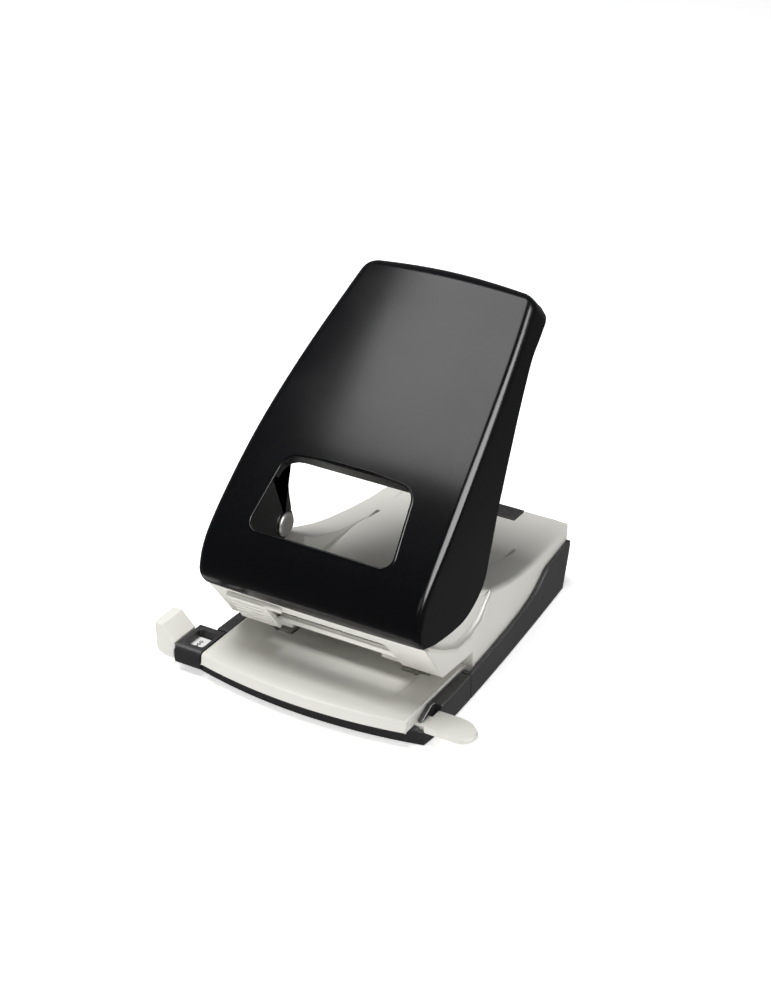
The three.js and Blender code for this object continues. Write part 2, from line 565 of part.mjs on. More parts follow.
function handleCover() {
  const hollow = coverBlock(COVER_WALL, 12);
  const windowShape = rounded([[-41.4, 0, 6.5], [41.4, 0, 6.5], [36.4, 42.4, 9], [12, 44.4], [-12, 44.4],
    [-36.4, 42.4, 9]]);
  const shell = cut(coverBlock(0, 0), hollow, onFace(slab(windowShape, -12, 14)));
  const bosses = COVER_SCREWS.map(([x, s]) => onFace(rodZ(3.6, x, s, -WEB_DEPTH + GAP, -1.6, 16)));
  const drilled = COVER_SCREWS.map(([x, s]) => onFace(rodZ(1.5, x, s, -WEB_DEPTH - 1, -2.2, 12)));
  return cut(join(shell, ...bosses), ...drilled);
}

function leverFrame() {
  const plate = rounded([[14.9, 53.3], [19.5, 48.4], [47.8, 53], [56, 57.4], [64, 70, 3], [61.4, 84, 6],
    [62.6, 98, 6], [80, 117.5, 3], [73, 126.5, 3], [48.5, 105.6], [20.5, 81.6, 8], [14, 70, 6]]);
  const side = (x0, x1) => join(sideways(plate, x0, x1), rodX(LOBE_R, x0, x1, HINGE_Y, HINGE_Z, 32),
    rodX(8, x0, x1, STUD_Y, STUD_Z, 36));
  const plates = [side(PLATE_IN, PLATE_OUT), side(-PLATE_OUT, -PLATE_IN)];
  const web = onFace(slab(rounded([[-PLATE_OUT, WEB_FROM], [PLATE_OUT, WEB_FROM], [PLATE_OUT, WEB_TO],
    [30, WEB_TO + 6, 6], [-30, WEB_TO + 6, 6], [-PLATE_OUT, WEB_TO]]), -WEB_DEPTH - WEB_T, -WEB_DEPTH));
  const collar = cut(
    onFace(slab(rounded([[-PLATE_OUT, 22], [PLATE_OUT, 22], [PLATE_OUT, WEB_FROM + 1, 1],
      [-PLATE_OUT, WEB_FROM + 1, 1]]), -17, -WEB_DEPTH)),
    onFace(slab(rounded([[-PLATE_IN, 0], [PLATE_IN, 0], [PLATE_IN, WEB_FROM - 1, 11],
      [-PLATE_IN, WEB_FROM - 1, 11]]), -18, 0)));
  const keep = sideways(plate, -50, 50);
  const holes = [
    rodX(AXLE_R + GAP, -50, 50, HINGE_Y, HINGE_Z),
    rodX(BAR_R + GAP, -50, 50, HOLE_Y, BAR_Z),
    rodX(3.3, -50, 50, STUD_Y, STUD_Z)];
  const screwHoles = COVER_SCREWS.map(([x, s]) => onFace(rodZ(1.9, x, s, -12, 0, 12)));
  return cut(join(...plates, web, common(collar, keep)), ...holes, ...screwHoles);
}

function stud(s) {
  const profile = [[0, 43], [5.9, 43], [STUD_R, 43.5], [STUD_R, PLATE_IN - GAP], [3, PLATE_IN - GAP],
    [3, PLATE_OUT + GAP], [5, PLATE_OUT + GAP], [5, 48.4], [0, 48.4]]
    .map(([r, x]) => new THREE.Vector2(r, x));
  const turned = new THREE.LatheGeometry(profile, 32).rotateZ(-Math.PI / 2);
  const placed = turned.translate(0, STUD_Y, STUD_Z);
  return s > 0 ? placed : placed.translate(0, -STUD_Y, 0).rotateZ(Math.PI).translate(0, STUD_Y, 0);
}

const coverScrew = ([x, s]) => onFace(join(
  rodZ(3, x, s, -WEB_DEPTH - WEB_T - GAP - 1.8, -WEB_DEPTH - WEB_T - GAP, 16),
  rodZ(1.2, x, s, -WEB_DEPTH - WEB_T - GAP - 0.5, -2.5, 12)));

// ---- punching mechanism ------------------------------------------------------------------------------
const HEAD_TOP = BAR_Z - BAR_R - GAP;
const HEAD_UNDER = HEAD_TOP - 4;
const PUNCH_HEAD_R = 4.6;
const TIP_Z = SLOT_TOP + 0.8;
const FRAME_Z0 = SLOT_TOP + 2.5 + GAP;
const FRAME_Z1 = FRAME_Z0 + 2;
const GUIDE_FLANGE_Z = FRAME_Z1 + GAP;
const BUSH_TOP = 31.4;

function punch(s) {
  return join(
    rodZ(PUNCH_R, s * HOLE_X, HOLE_Y, TIP_Z, HEAD_UNDER + 1, 24),
    rodZ(PUNCH_HEAD_R, s * HOLE_X, HOLE_Y, HEAD_UNDER, HEAD_TOP - 1, 24),
    rodZ(PUNCH_HEAD_R, s * HOLE_X, HOLE_Y, HEAD_TOP - 1, HEAD_TOP, 24, PUNCH_HEAD_R - 1));
}

function punchGuide(s) {
  const sleeve = rodZ(5, s * HOLE_X, HOLE_Y, SLOT_TOP + 0.4, BUSH_TOP);
  const flange = rodZ(7, s * HOLE_X, HOLE_Y, GUIDE_FLANGE_Z, GUIDE_FLANGE_Z + 1.4);
  return cut(join(sleeve, flange), rodZ(PUNCH_R + GAP, s * HOLE_X, HOLE_Y, 20, 40));
}

function punchFrame() {
  const plate = box(-51, 51, 36, 61, FRAME_Z0, FRAME_Z1);
  const ear = rounded([[38, FRAME_Z0], [61, FRAME_Z0], [61, 33, 4], [36, 46, 8], [21, 56.2], [15.6, 50]]);
  const side = (x0, x1) => join(sideways(ear, x0, x1), rodX(LOBE_R, x0, x1, HINGE_Y, HINGE_Z, 32));
  const ears = [side(49, 51), side(-51, -49)];
  const holes = sides.map(([, s]) => rodZ(5.3, s * HOLE_X, HOLE_Y, 20, 40));
  const screwHoles = FRAME_SCREWS.map(([x, y]) => rodZ(1.5, x, y, 20, 40, 12));
  return cut(join(plate, ...ears), ...holes, ...screwHoles, rodX(AXLE_R + GAP, -60, 60, HINGE_Y, HINGE_Z));
}

const frameScrew = ([x, y]) => join(
  rodZ(2.8, x, y, FRAME_Z1 + GAP, FRAME_Z1 + GAP + 1.8, 16),
  rodZ(1.2, x, y, SLOT_TOP + 0.4, FRAME_Z1 + GAP + 0.5, 12));

const baseScrew = ([x, y]) => join(
  rodZ(2.2, x, y, 0.3, 1.6, 16),
  rodZ(1.2, x, y, 1, 11.9, 12));

const crossPin = (x0, x1) =>
  rodX(PIN_R, Math.min(x0, x1), Math.max(x0, x1), TRAY_HINGE_Y, TRAY_HINGE_Z, 16);

const washer = (outer, x0, x1) => cut(
  rodX(outer, Math.min(x0, x1), Math.max(x0, x1), HINGE_Y, HINGE_Z, 24),
  rodX(AXLE_R + GAP, -60, 60, HINGE_Y, HINGE_Z, 24));

// A coil spring standing on z0, turns turns of round wire.
function coilSpring(x, y, z0, z1, radius, wire, turns) {
  class Helix extends THREE.Curve {
    getPoint(t, target = new THREE.Vector3()) {
      const angle = 2 * Math.PI * turns * t;
      const z = z0 + wire + (z1 - z0 - 2 * wire) * t;
      return target.set(x + radius * Math.cos(angle), y + radius * Math.sin(angle), z);
    }
  }
  const section = new THREE.Shape();
  section.absarc(0, 0, wire, 0, 2 * Math.PI);
  const options = { steps: turns * 12, extrudePath: new Helix(), curveSegments: 3 };
  return new THREE.ExtrudeGeometry(section, options);
}

// ---- format guide --------------------------------------------------------------------------------------
function guideHolder() {
  const block = sideways(rounded([[GUIDE_Y0, GUIDE_Z0, 2], [GUIDE_Y1, GUIDE_Z0, 1],
    [GUIDE_Y1, GUIDE_TOP, 1], [GUIDE_Y0, GUIDE_TOP, 4]]), -HOLDER_OUT_X, -HOLDER_IN_X);
  const channel = box(-80, -50, BAR_Y0 - GAP, BAR_Y1 + GAP, BAR_Z0 - GAP, CHANNEL_TOP);
  const window = slab(rounded([[-73.2, 6.4, 1.5], [-62.4, 6.4, 1.5], [-62.4, 20.4, 1.5],
    [-73.2, 20.4, 1.5]]), CHANNEL_TOP - 0.6, GUIDE_TOP + 1);
  return cut(block, channel, window);
}

const guideBar = () => box(-STOP_OUT_X + 12.5, 45, BAR_Y0, BAR_Y1, BAR_Z0, BAR_Z1);
const formatLabel = () => box(-75, -12, BAR_Y0 + 0.2, BAR_Y1 - 0.4, BAR_Z1 + 0.25, BAR_Z1 + 0.55);
const endStop = () => {
  const wedge = endways(rounded([[-STOP_OUT_X, 7.5, 3], [-STOP_OUT_X, 22, 0.8],
    [-STOP_OUT_X + 5.3, 22, 0.8], [-STOP_OUT_X + 13.1, 14.2], [-STOP_OUT_X + 13.1, 10],
    [-STOP_OUT_X + 12.2, 10], [-STOP_OUT_X + 12.2, 4.4], [-STOP_OUT_X + 6, 4.4, 2]]), 3, 21);
  const plan = slab(rounded([[-STOP_OUT_X, 3, 4], [-70, 3], [-70, 21], [-STOP_OUT_X, 21, 1.5]]), 0, 30);
  return common(wedge, plan);
};
const guideDetent = () => endways(rounded([[-45, 2.3], [-40, 2.3], [-30, 4.6], [-24, 4.6], [-14, 2.3],
  [-9, 2.3], [-9, 2.8], [-14, 2.8], [-24, 5.1], [-30, 5.1], [-40, 2.8], [-45, 2.8]]), 10, 16);

function releaseKey() {
  const plan = rounded([[KEY_X0, KEY_Y0, 2], [KEY_X1 - 4, KEY_Y0, 3], [KEY_X1, KEY_Y0 + 5, 6],
    [KEY_X1, KEY_Y1 - 6, 5], [KEY_X1 - 7, KEY_Y1, 4], [KEY_X0, KEY_Y1, 1]]);
  // flat where it meets the base, sloping down to its outer end
  const sideView = endways(rounded([[KEY_X0, KEY_Z0], [KEY_X1, KEY_Z0, 1.5], [KEY_X1, KEY_Z1 - 1.1, 1.5],
    [80.5, KEY_Z1, 8], [KEY_X0, KEY_Z1, 0.5]]), KEY_Y0 - 1, KEY_Y1 + 1);
  const stem = box(52, 68, STEM_Y0, STEM_Y1, BAR_Z0, 9.4);
  return join(common(slab(plan, KEY_Z0, KEY_Z1), sideView), stem);
}

// ---- lever lock ----------------------------------------------------------------------------------------
function lockSlider() {
  const pad = sideways(alongBridge(26.5, 46, 0.3, 2.6), -52, -29);
  const ribs = [28, 31.4, 34.8, 38.2, 41.6].map((z) => sideways(alongBridge(z, z + 1.6, 2, 3.3), -51, -31));
  const bracket = sideways(alongBridge(42.5, 46, 0.3, 1.9), -30, -21);
  const stem = sideways(alongBridge(33, 38, -4.5, 1), -46, -38);
  return join(pad, ...ribs, bracket, stem);
}

// ---- assembly ------------------------------------------------------------------------------------------
add('front_base', frontBase(), satinBlack);
add('paper_table', paperTable(), lightGrey);
add('body_shell', bodyShell(), lightGrey);
add('punch_frame', punchFrame(), steel);
add('hinge_axle', rodX(AXLE_R, -53, 53, HINGE_Y, HINGE_Z), steel);
add('guide_holder', guideHolder(), satinBlack);
add('guide_detent', guideDetent(), springSteel);

add('chip_tray', chipTray(), satinBlack);
add('rear_tab', rearTab(), satinBlack);

add('handle_cover', handleCover(), gloss);
add('lever_frame', leverFrame(), blackSteel);
add('press_bar', rodX(BAR_R, -PLATE_OUT - 1, PLATE_OUT + 1, HOLE_Y, BAR_Z, 24), steel);

add('guide_bar', guideBar(), lightGrey);
add('format_label', formatLabel(), label);
add('end_stop', endStop(), lightGrey);
add('release_key', releaseKey(), lightGrey);
add('lock_slider', lockSlider(), lightGrey);

FRAME_SCREWS.forEach((place, i) => add(`frame_screw_${i + 1}`, frameScrew(place), steel));
COVER_SCREWS.forEach((place, i) => add(`cover_screw_${i + 1}`, coverScrew(place), steel));

sides.forEach(([side, s]) => {
  add(`front_pad_${side}`, pad(s * FRONT_PAD[0], FRONT_PAD[1]), rubber);
  add(`tray_pad_${side}`, pad(s * TRAY_PAD[0], TRAY_PAD[1]), rubber);
  add(`base_screw_${side}`, baseScrew([s * BASE_SCREW[0], BASE_SCREW[1]]), steel);
  add(`tray_hinge_pin_${side}`, crossPin(s * 53.9, s * 59), steel);
  add(`die_${side}`, die(s), steel);
  add(`punch_guide_${side}`, punchGuide(s), steel);
  add(`punch_${side}`, punch(s), steel);
  add(`punch_spring_${side}`, coilSpring(s * HOLE_X, HOLE_Y, BUSH_TOP + GAP, HEAD_UNDER - GAP, 3.9, 0.5, 5),
    springSteel);
  add(`lever_stud_${side}`, stud(s), steel);
  add(`axle_spacer_${side}`, washer(4, s * (PLATE_OUT + GAP), s * 48.7), nylon);
  add(`axle_clip_${side}`, washer(4.1, s * 51.3, s * 52.1), springSteel);
});

export default root;
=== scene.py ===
"""Looks for the two-hole office punch: gloss lever cover, pale shells, black base and bare steel parts.

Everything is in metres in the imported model's frame: +Z up, +Y to the rear, +X to the user's right.
"""
import json
import math

import bmesh
import bpy
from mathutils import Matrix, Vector
from mathutils.bvhtree import BVHTree


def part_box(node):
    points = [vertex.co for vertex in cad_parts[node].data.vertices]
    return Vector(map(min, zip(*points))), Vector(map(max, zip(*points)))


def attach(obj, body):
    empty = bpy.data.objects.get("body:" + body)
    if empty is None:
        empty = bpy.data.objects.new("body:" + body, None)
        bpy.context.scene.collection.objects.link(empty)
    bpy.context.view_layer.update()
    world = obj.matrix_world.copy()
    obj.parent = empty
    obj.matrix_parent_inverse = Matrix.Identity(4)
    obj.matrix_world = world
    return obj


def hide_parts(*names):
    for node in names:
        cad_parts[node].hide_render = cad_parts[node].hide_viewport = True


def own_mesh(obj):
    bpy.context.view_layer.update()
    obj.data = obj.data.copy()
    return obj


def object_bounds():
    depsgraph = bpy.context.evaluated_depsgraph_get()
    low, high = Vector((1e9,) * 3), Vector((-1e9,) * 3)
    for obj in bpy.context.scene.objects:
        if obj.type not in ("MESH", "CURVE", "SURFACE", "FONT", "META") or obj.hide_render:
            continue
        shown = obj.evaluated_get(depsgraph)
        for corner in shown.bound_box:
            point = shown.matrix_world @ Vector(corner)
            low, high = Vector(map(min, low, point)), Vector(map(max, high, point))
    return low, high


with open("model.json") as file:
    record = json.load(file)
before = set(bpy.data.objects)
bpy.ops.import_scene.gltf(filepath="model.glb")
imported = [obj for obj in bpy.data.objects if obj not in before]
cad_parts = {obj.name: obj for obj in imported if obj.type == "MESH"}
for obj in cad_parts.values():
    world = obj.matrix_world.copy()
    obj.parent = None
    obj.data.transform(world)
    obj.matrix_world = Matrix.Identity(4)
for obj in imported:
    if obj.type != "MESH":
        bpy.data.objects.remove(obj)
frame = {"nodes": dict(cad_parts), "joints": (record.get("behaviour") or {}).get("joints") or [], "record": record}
cad_low, cad_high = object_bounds()

bl_info = {
    "name": "Hole punch finish",
    "version": (1, 0, 0),
    "blender": (4, 5, 0),
    "location": "View3D > Sidebar > Hole punch",
    "description": "Builds the fine shells, fittings and finishes of a two-hole office punch",
    "category": "Add Mesh",
}

MM = 0.001
JOINTS = {joint["name"]: joint for joint in frame["joints"]}
HINGE = Vector(JOINTS["lever_hinge"]["pos_m"])
BODY_OF = {node: body for body, nodes in frame["record"]["behaviour"]["bodies"].items() for node in nodes}
SIDES = ("left", "right")


# ---- settings -------------------------------------------------------------------------------------
def millimetres(name, description, default):
    """A length property, shown in the scene's units."""
    return bpy.props.FloatProperty(name=name, description=description, default=default * MM, min=0.0,
                                   unit="LENGTH", subtype="DISTANCE")


def colour(name, description, default):
    return bpy.props.FloatVectorProperty(name=name, description=description, default=default, size=3,
                                         min=0.0, max=1.0, subtype="COLOR")


class PunchSizes(bpy.types.PropertyGroup):
    cover_wall: millimetres("Cover wall", "Thickness of the lever cover's moulding", 2.2)
    cover_fillet: millimetres("Cover rounding", "Radius of the cover's long edges", 4.5)
    cover_crown: millimetres("Cover crown", "Height of the face's middle over its long edges", 2.2)
    rim_radius: millimetres("Window rim", "Radius of the bead round the finger window", 0.75)
    shell_edge: millimetres("Shell edges", "Rounding of the moulded shells' edges", 0.5)
    thin_edge: millimetres("Thin edges", "Rounding of edges beside steps under a millimetre", 0.25)
    arm_edge: millimetres("Arm edges", "Rounding of the arms' long outer edges", 2.6)
    key_edge: millimetres("Key edges", "Rounding of the release key", 0.45)
    small_edge: millimetres("Small edges", "Rounding of edges on keys, stops and sliders", 0.35)
    metal_edge: millimetres("Metal edges", "Rounding of edges on pressed and turned steel", 0.15)
    dish_depth: millimetres("Dish depth", "Depth of the paper table's dish at its rear", 2.6)


class PunchColours(bpy.types.PropertyGroup):
    gloss: colour("Gloss black", "Lever cover", (0.0016, 0.0018, 0.0024))
    shell: colour("Warm grey", "Pale shells, stop and key", (0.76, 0.75, 0.70))
    base: colour("Satin black", "Base and chip tray", (0.018, 0.017, 0.019))
    enamel: colour("Enamel black", "Pressed steel lever", (0.003, 0.003, 0.004))
    steel: colour("Bright steel", "Frame, axle and punches", (0.56, 0.55, 0.53))
    floor: colour("Floor", "Floor under the punch", (0.93, 0.93, 0.93))


class PunchStage(bpy.types.PropertyGroup):
    eye: bpy.props.FloatVectorProperty(name="Camera place", description="Where the camera stands",
                                       default=(0.5018, -0.8444, 0.6153), size=3, unit="LENGTH",
                                       subtype="TRANSLATION")
    azimuth: bpy.props.FloatProperty(name="Azimuth", description="Camera's turn round the punch",
                                     default=math.radians(30.86), subtype="ANGLE")
    elevation: bpy.props.FloatProperty(name="Elevation", description="Camera's height over the horizon",
                                       default=math.radians(28.65), subtype="ANGLE")
    lens: bpy.props.FloatProperty(name="Lens", description="Focal length", default=80.64, unit="CAMERA")
    key_power: bpy.props.FloatProperty(name="Overhead light", description="Power of the softbox overhead",
                                       default=16.0, unit="POWER")
    strip_power: bpy.props.FloatProperty(name="Side light", description="Power of the strip at the right",
                                         default=60.0, unit="POWER")
    fill_power: bpy.props.FloatProperty(name="Front light", description="Power of the front fill",
                                        default=2.4, unit="POWER")


# ---- mesh helpers ---------------------------------------------------------------------------------
def new_object(name, mesh):
    made = bpy.data.objects.new(name, mesh)
    bpy.context.scene.collection.objects.link(made)
    return made


def mesh_object(name, points, faces):
    mesh = bpy.data.meshes.new(name)
    mesh.from_pydata([tuple(point) for point in points], [], faces)
    mesh.validate()
    return new_object(name, mesh)


def modify(piece, kind, **settings):
    """Adds a modifier and applies it at once."""
    modifier = piece.modifiers.new(kind.lower(), kind)
    for key, value in settings.items():
        setattr(modifier, key, value)
    depsgraph = bpy.context.evaluated_depsgraph_get()
    depsgraph.update()
    mesh = bpy.data.meshes.new_from_object(piece.evaluated_get(depsgraph), depsgraph=depsgraph)
    piece.modifiers.clear()
    piece.data = mesh
    return piece


def outward(piece):
    """Turns every face of a closed body outward."""
    bm = bmesh.new()
    bm.from_mesh(piece.data)
    bmesh.ops.recalc_face_normals(bm, faces=bm.faces)
    bm.to_mesh(piece.data)
    bm.free()
    return piece


def smooth(piece, degrees=35):
    for polygon in piece.data.polygons:
        polygon.use_smooth = True
    piece.data.set_sharp_from_angle(angle=math.radians(degrees))
    return piece


def refined(node, edge, degrees=28, segments=3, soft=None):
    """A fine copy of a CAD node: its flat faces made whole, its edges rounded and its curves smooth.

    soft is a pair: a larger rounding, and a test that says which edges get it.
    """
    piece = new_object(node + "_fine", frame["nodes"][node].data.copy())
    bm = bmesh.new()
    bm.from_mesh(piece.data)
    bmesh.ops.remove_doubles(bm, verts=bm.verts, dist=1e-6)
    bmesh.ops.dissolve_limit(bm, angle_limit=math.radians(0.6), verts=bm.verts, edges=bm.edges)
    if soft:
        bm.normal_update()
        chosen = [line for line in bm.edges if soft[1](line)]
        bmesh.ops.bevel(bm, geom=chosen, offset=soft[0], segments=6, profile=0.5, affect="EDGES")
    surface = BVHTree.FromBMesh(bm)
    bm.to_mesh(piece.data)
    bm.free()
    piece.data.materials.clear()
    if edge > 0:
        modify(piece, "BEVEL", width=edge, segments=segments, limit_method="ANGLE",
               angle_limit=math.radians(degrees), use_clamp_overlap=False, miter_outer="MITER_ARC")
        for vertex in piece.data.vertices:  # a corner thrown off the surface goes back onto it
            nearest = surface.find_nearest(vertex.co)[0]
            if (nearest - vertex.co).length > 0.9 * edge:
                vertex.co = nearest
    bm = bmesh.new()
    bm.from_mesh(piece.data)
    many_sided = [face for face in bm.faces if len(face.verts) > 4]
    bmesh.ops.triangulate(bm, faces=many_sided, quad_method="BEAUTY", ngon_method="EAR_CLIP")
    bm.to_mesh(piece.data)
    bm.free()
    return shaded(piece)


def arm_edge(line):
    """The long outer edges of the shell's arms, where their tops meet their sides."""
    if len(line.link_faces) != 2:
        return False
    up, out = sorted(line.link_faces, key=lambda face: -face.normal.z)
    middle = (line.verts[0].co + line.verts[1].co) / 2
    return (up.normal.z > 0.5 and abs(out.normal.x) > 0.9 and abs(middle.x) > 49 * MM
            and middle.z > 26 * MM and out.normal.x * middle.x > 0)


def shaded(piece, degrees=32):
    """Smooth curves and true flats: big faces set the normals where they meet narrow ones."""
    smooth(piece, degrees)
    return modify(piece, "WEIGHTED_NORMAL", mode="FACE_AREA", keep_sharp=True)


def fit(piece, body, slot, material, *nodes):
    """Puts a piece on its body, gives it its finish and hides the CAD nodes it stands for."""
    piece.data.materials.clear()
    piece.data.materials.append(material)
    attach(piece, body)
    if nodes:
        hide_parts(*nodes)
    return piece


def finish_node(node, edge, slot, material, **settings):
    return fit(refined(node, edge, **settings), BODY_OF[node], slot, material, node)


def spline(points, count):
    """Points spaced evenly along a smooth line through the given points."""
    dense = []
    for i in range(len(points) - 1):
        p0 = points[max(0, i - 1)]
        p1, p2 = points[i], points[i + 1]
        p3 = points[min(len(points) - 1, i + 2)]
        for k in range(24):
            t = k / 24
            dense.append(0.5 * ((2 * p1) + (p2 - p0) * t + (2 * p0 - 5 * p1 + 4 * p2 - p3) * t * t
                                + (3 * p1 - p0 - 3 * p2 + p3) * t ** 3))
    dense.append(points[-1].copy())
    return evenly(dense, count)


def evenly(points, count, closed=False):
    if closed:
        points = points + [points[0]]
    reach = [0.0]
    for a, b in zip(points, points[1:]):
        reach.append(reach[-1] + (b - a).length)
    stops = count if closed else count - 1
    out, at = [], 0
    for i in range(count):
        wanted = reach[-1] * i / stops
        while at < len(points) - 2 and reach[at + 1] < wanted:
            at += 1
        span = max(reach[at + 1] - reach[at], 1e-12)
        out.append(points[at].lerp(points[at + 1], (wanted - reach[at]) / span))
    return out


def rounded_outline(corners, steps=10):
    """A closed outline in the plane whose corners, given as (x, y, radius), are arcs."""
    out = []
    for i, (x, y, radius) in enumerate(corners):
        here = Vector((x, y))
        before = (Vector(corners[i - 1][:2]) - here).normalized()
        after = (Vector(corners[(i + 1) % len(corners)][:2]) - here).normalized()
        angle = before.angle(after)
        if radius <= 0 or angle > math.radians(175):
            out.append(here)
            continue
        leg = radius / math.tan(angle / 2)
        start, end = here + before * leg, here + after * leg
        centre = here + (before + after).normalized() * (radius / math.sin(angle / 2))
        sweep = (start - centre).angle(end - centre)
        for k in range(steps + 1):
            t = k / steps
            mix = (start - centre) * math.sin((1 - t) * sweep) + (end - centre) * math.sin(t * sweep)
            out.append(centre + mix / math.sin(sweep))
    return out


def tube(name, path, radius, sides=12, closed=True):
    """A round bead along a path of points."""
    points, faces = [], []
    count = len(path)
    for i, here in enumerate(path):
        before = path[i - 1] if closed or i > 0 else here
        after = path[(i + 1) % count] if closed or i < count - 1 else here
        along = (after - before).normalized()
        side = along.cross(Vector((0, 0, 1)) if abs(along.z) < 0.9 else Vector((1, 0, 0))).normalized()
        up = side.cross(along)
        for k in range(sides):
            turn = 2 * math.pi * k / sides
            points.append(here + (side * math.cos(turn) + up * math.sin(turn)) * radius)
    for i in range(count if closed else count - 1):
        j = (i + 1) % count
        for k in range(sides):
            m = (k + 1) % sides
            faces.append((i * sides + k, j * sides + k, j * sides + m, i * sides + m))
    if not closed:
        faces.append(tuple(range(sides)))
        faces.append(tuple(reversed(range((count - 1) * sides, count * sides))))
    return outward(mesh_object(name, points, faces))


def spun(name, profile, centre, axis, steps=48):
    """A turned piece: profile is (distance from the axis, distance along it), from axis to axis."""
    axis = Vector(axis).normalized()
    side = axis.orthogonal().normalized()
    up = axis.cross(side)
    points, faces = [], []
    for radius, along in profile:
        for k in range(steps):
            turn = 2 * math.pi * k / steps
            points.append(centre + axis * along + (side * math.cos(turn) + up * math.sin(turn)) * radius)
    for i in range(len(profile) - 1):
        for k in range(steps):
            m = (k + 1) % steps
            faces.append((i * steps + k, i * steps + m, (i + 1) * steps + m, (i + 1) * steps + k))
    made = mesh_object(name, points, faces)
    bm = bmesh.new()
    bm.from_mesh(made.data)
    bmesh.ops.remove_doubles(bm, verts=bm.verts, dist=1e-7)
    bmesh.ops.holes_fill(bm, edges=[edge for edge in bm.edges if edge.is_boundary])
    bm.to_mesh(made.data)
    bm.free()
    return smooth(outward(made), 35)


# ---- materials ------------------------------------------------------------------------------------
def put(tree, kind, values=None, **settings):
    """A node with its settings; each value is a number, a colour or another node's socket."""
    made = tree.nodes.new(kind)
    for key, value in settings.items():
        setattr(made, key, value)
    for key, value in (values or {}).items():
        if isinstance(value, bpy.types.NodeSocket):
            tree.links.new(value, made.inputs[key])
        else:
            made.inputs[key].default_value = value
    return made


def effect(name, inputs, outputs):
    """An empty node group with named sockets; every input is a number."""
    group = bpy.data.node_groups.new(name, "ShaderNodeTree")
    for label, default in inputs:
        socket = group.interface.new_socket(label, in_out="INPUT", socket_type="NodeSocketFloat")
        socket.default_value = default
    for label in outputs:
        group.interface.new_socket(label, in_out="OUTPUT", socket_type="NodeSocketFloat")
    return group, group.nodes.new("NodeGroupInput"), group.nodes.new("NodeGroupOutput")


def moulded_grain():
    """Fine spark-eroded texture: a height for bump and a mask of slightly duller patches."""
    group, given, out = effect("Moulded grain", [("Scale", 2500.0)], ["Height", "Patches"])
    place = put(group, "ShaderNodeTexCoord")
    fine = put(group, "ShaderNodeTexNoise", {"Vector": place.outputs["Object"], "Detail": 3.0,
                                             "Scale": given.outputs["Scale"], "Roughness": 0.6})
    cells = put(group, "ShaderNodeTexVoronoi", {"Vector": place.outputs["Object"],
                                                "Scale": given.outputs["Scale"]}, feature="SMOOTH_F1")
    height = put(group, "ShaderNodeMath", {0: fine.outputs["Fac"], 1: cells.outputs["Distance"]},
                 operation="ADD")
    broad = put(group, "ShaderNodeTexNoise", {"Vector": place.outputs["Object"], "Scale": 28.0,
                                              "Detail": 4.0})
    patches = put(group, "ShaderNodeMapRange", {"Value": broad.outputs["Fac"], "From Min": 0.35,
                                                "From Max": 0.7})
    group.links.new(height.outputs[0], out.inputs["Height"])
    group.links.new(patches.outputs[0], out.inputs["Patches"])
    return group


def handling_marks():
    """Where a surface has been touched or wiped: broad smears and hair-fine wipe lines."""
    group, given, out = effect("Handling marks", [("Smear scale", 18.0), ("Line scale", 260.0)],
                               ["Smears", "Lines"])
    place = put(group, "ShaderNodeTexCoord")
    smear = put(group, "ShaderNodeTexNoise", {"Vector": place.outputs["Object"],
                                              "Scale": given.outputs["Smear scale"], "Detail": 5.0,
                                              "Distortion": 0.6})
    smears = put(group, "ShaderNodeMapRange", {"Value": smear.outputs["Fac"], "From Min": 0.45,
                                               "From Max": 0.75})
    drawn = put(group, "ShaderNodeMapping", {"Vector": place.outputs["Object"], "Scale": (1.0, 0.04, 0.06),
                                             "Rotation": (0.6, 0.0, 0.35)})
    line = put(group, "ShaderNodeTexNoise", {"Vector": drawn.outputs[0], "Scale": given.outputs["Line scale"],
                                             "Detail": 2.0})
    lines = put(group, "ShaderNodeMapRange", {"Value": line.outputs["Fac"], "From Min": 0.62,
                                              "From Max": 0.72})
    group.links.new(smears.outputs[0], out.inputs["Smears"])
    group.links.new(lines.outputs[0], out.inputs["Lines"])
    return group


def settled_dust():
    """A faint film that lies on faces turned upward."""
    group, given, out = effect("Settled dust", [("Amount", 0.1)], ["Dust"])
    place = put(group, "ShaderNodeTexCoord")
    shape = put(group, "ShaderNodeNewGeometry")
    turned = put(group, "ShaderNodeSeparateXYZ", {0: shape.outputs["Normal"]})
    up = put(group, "ShaderNodeMapRange", {"Value": turned.outputs["Z"], "From Min": 0.5, "From Max": 1.0})
    specks = put(group, "ShaderNodeTexNoise", {"Vector": place.outputs["Object"], "Scale": 420.0,
                                               "Detail": 6.0})
    caught = put(group, "ShaderNodeMapRange", {"Value": specks.outputs["Fac"], "From Min": 0.4,
                                               "From Max": 0.8})
    share = put(group, "ShaderNodeMath", {0: up.outputs[0], 1: caught.outputs[0]}, operation="MULTIPLY")
    dust = put(group, "ShaderNodeMath", {0: share.outputs[0], 1: given.outputs["Amount"]},
               operation="MULTIPLY")
    group.links.new(dust.outputs[0], out.inputs["Dust"])
    return group


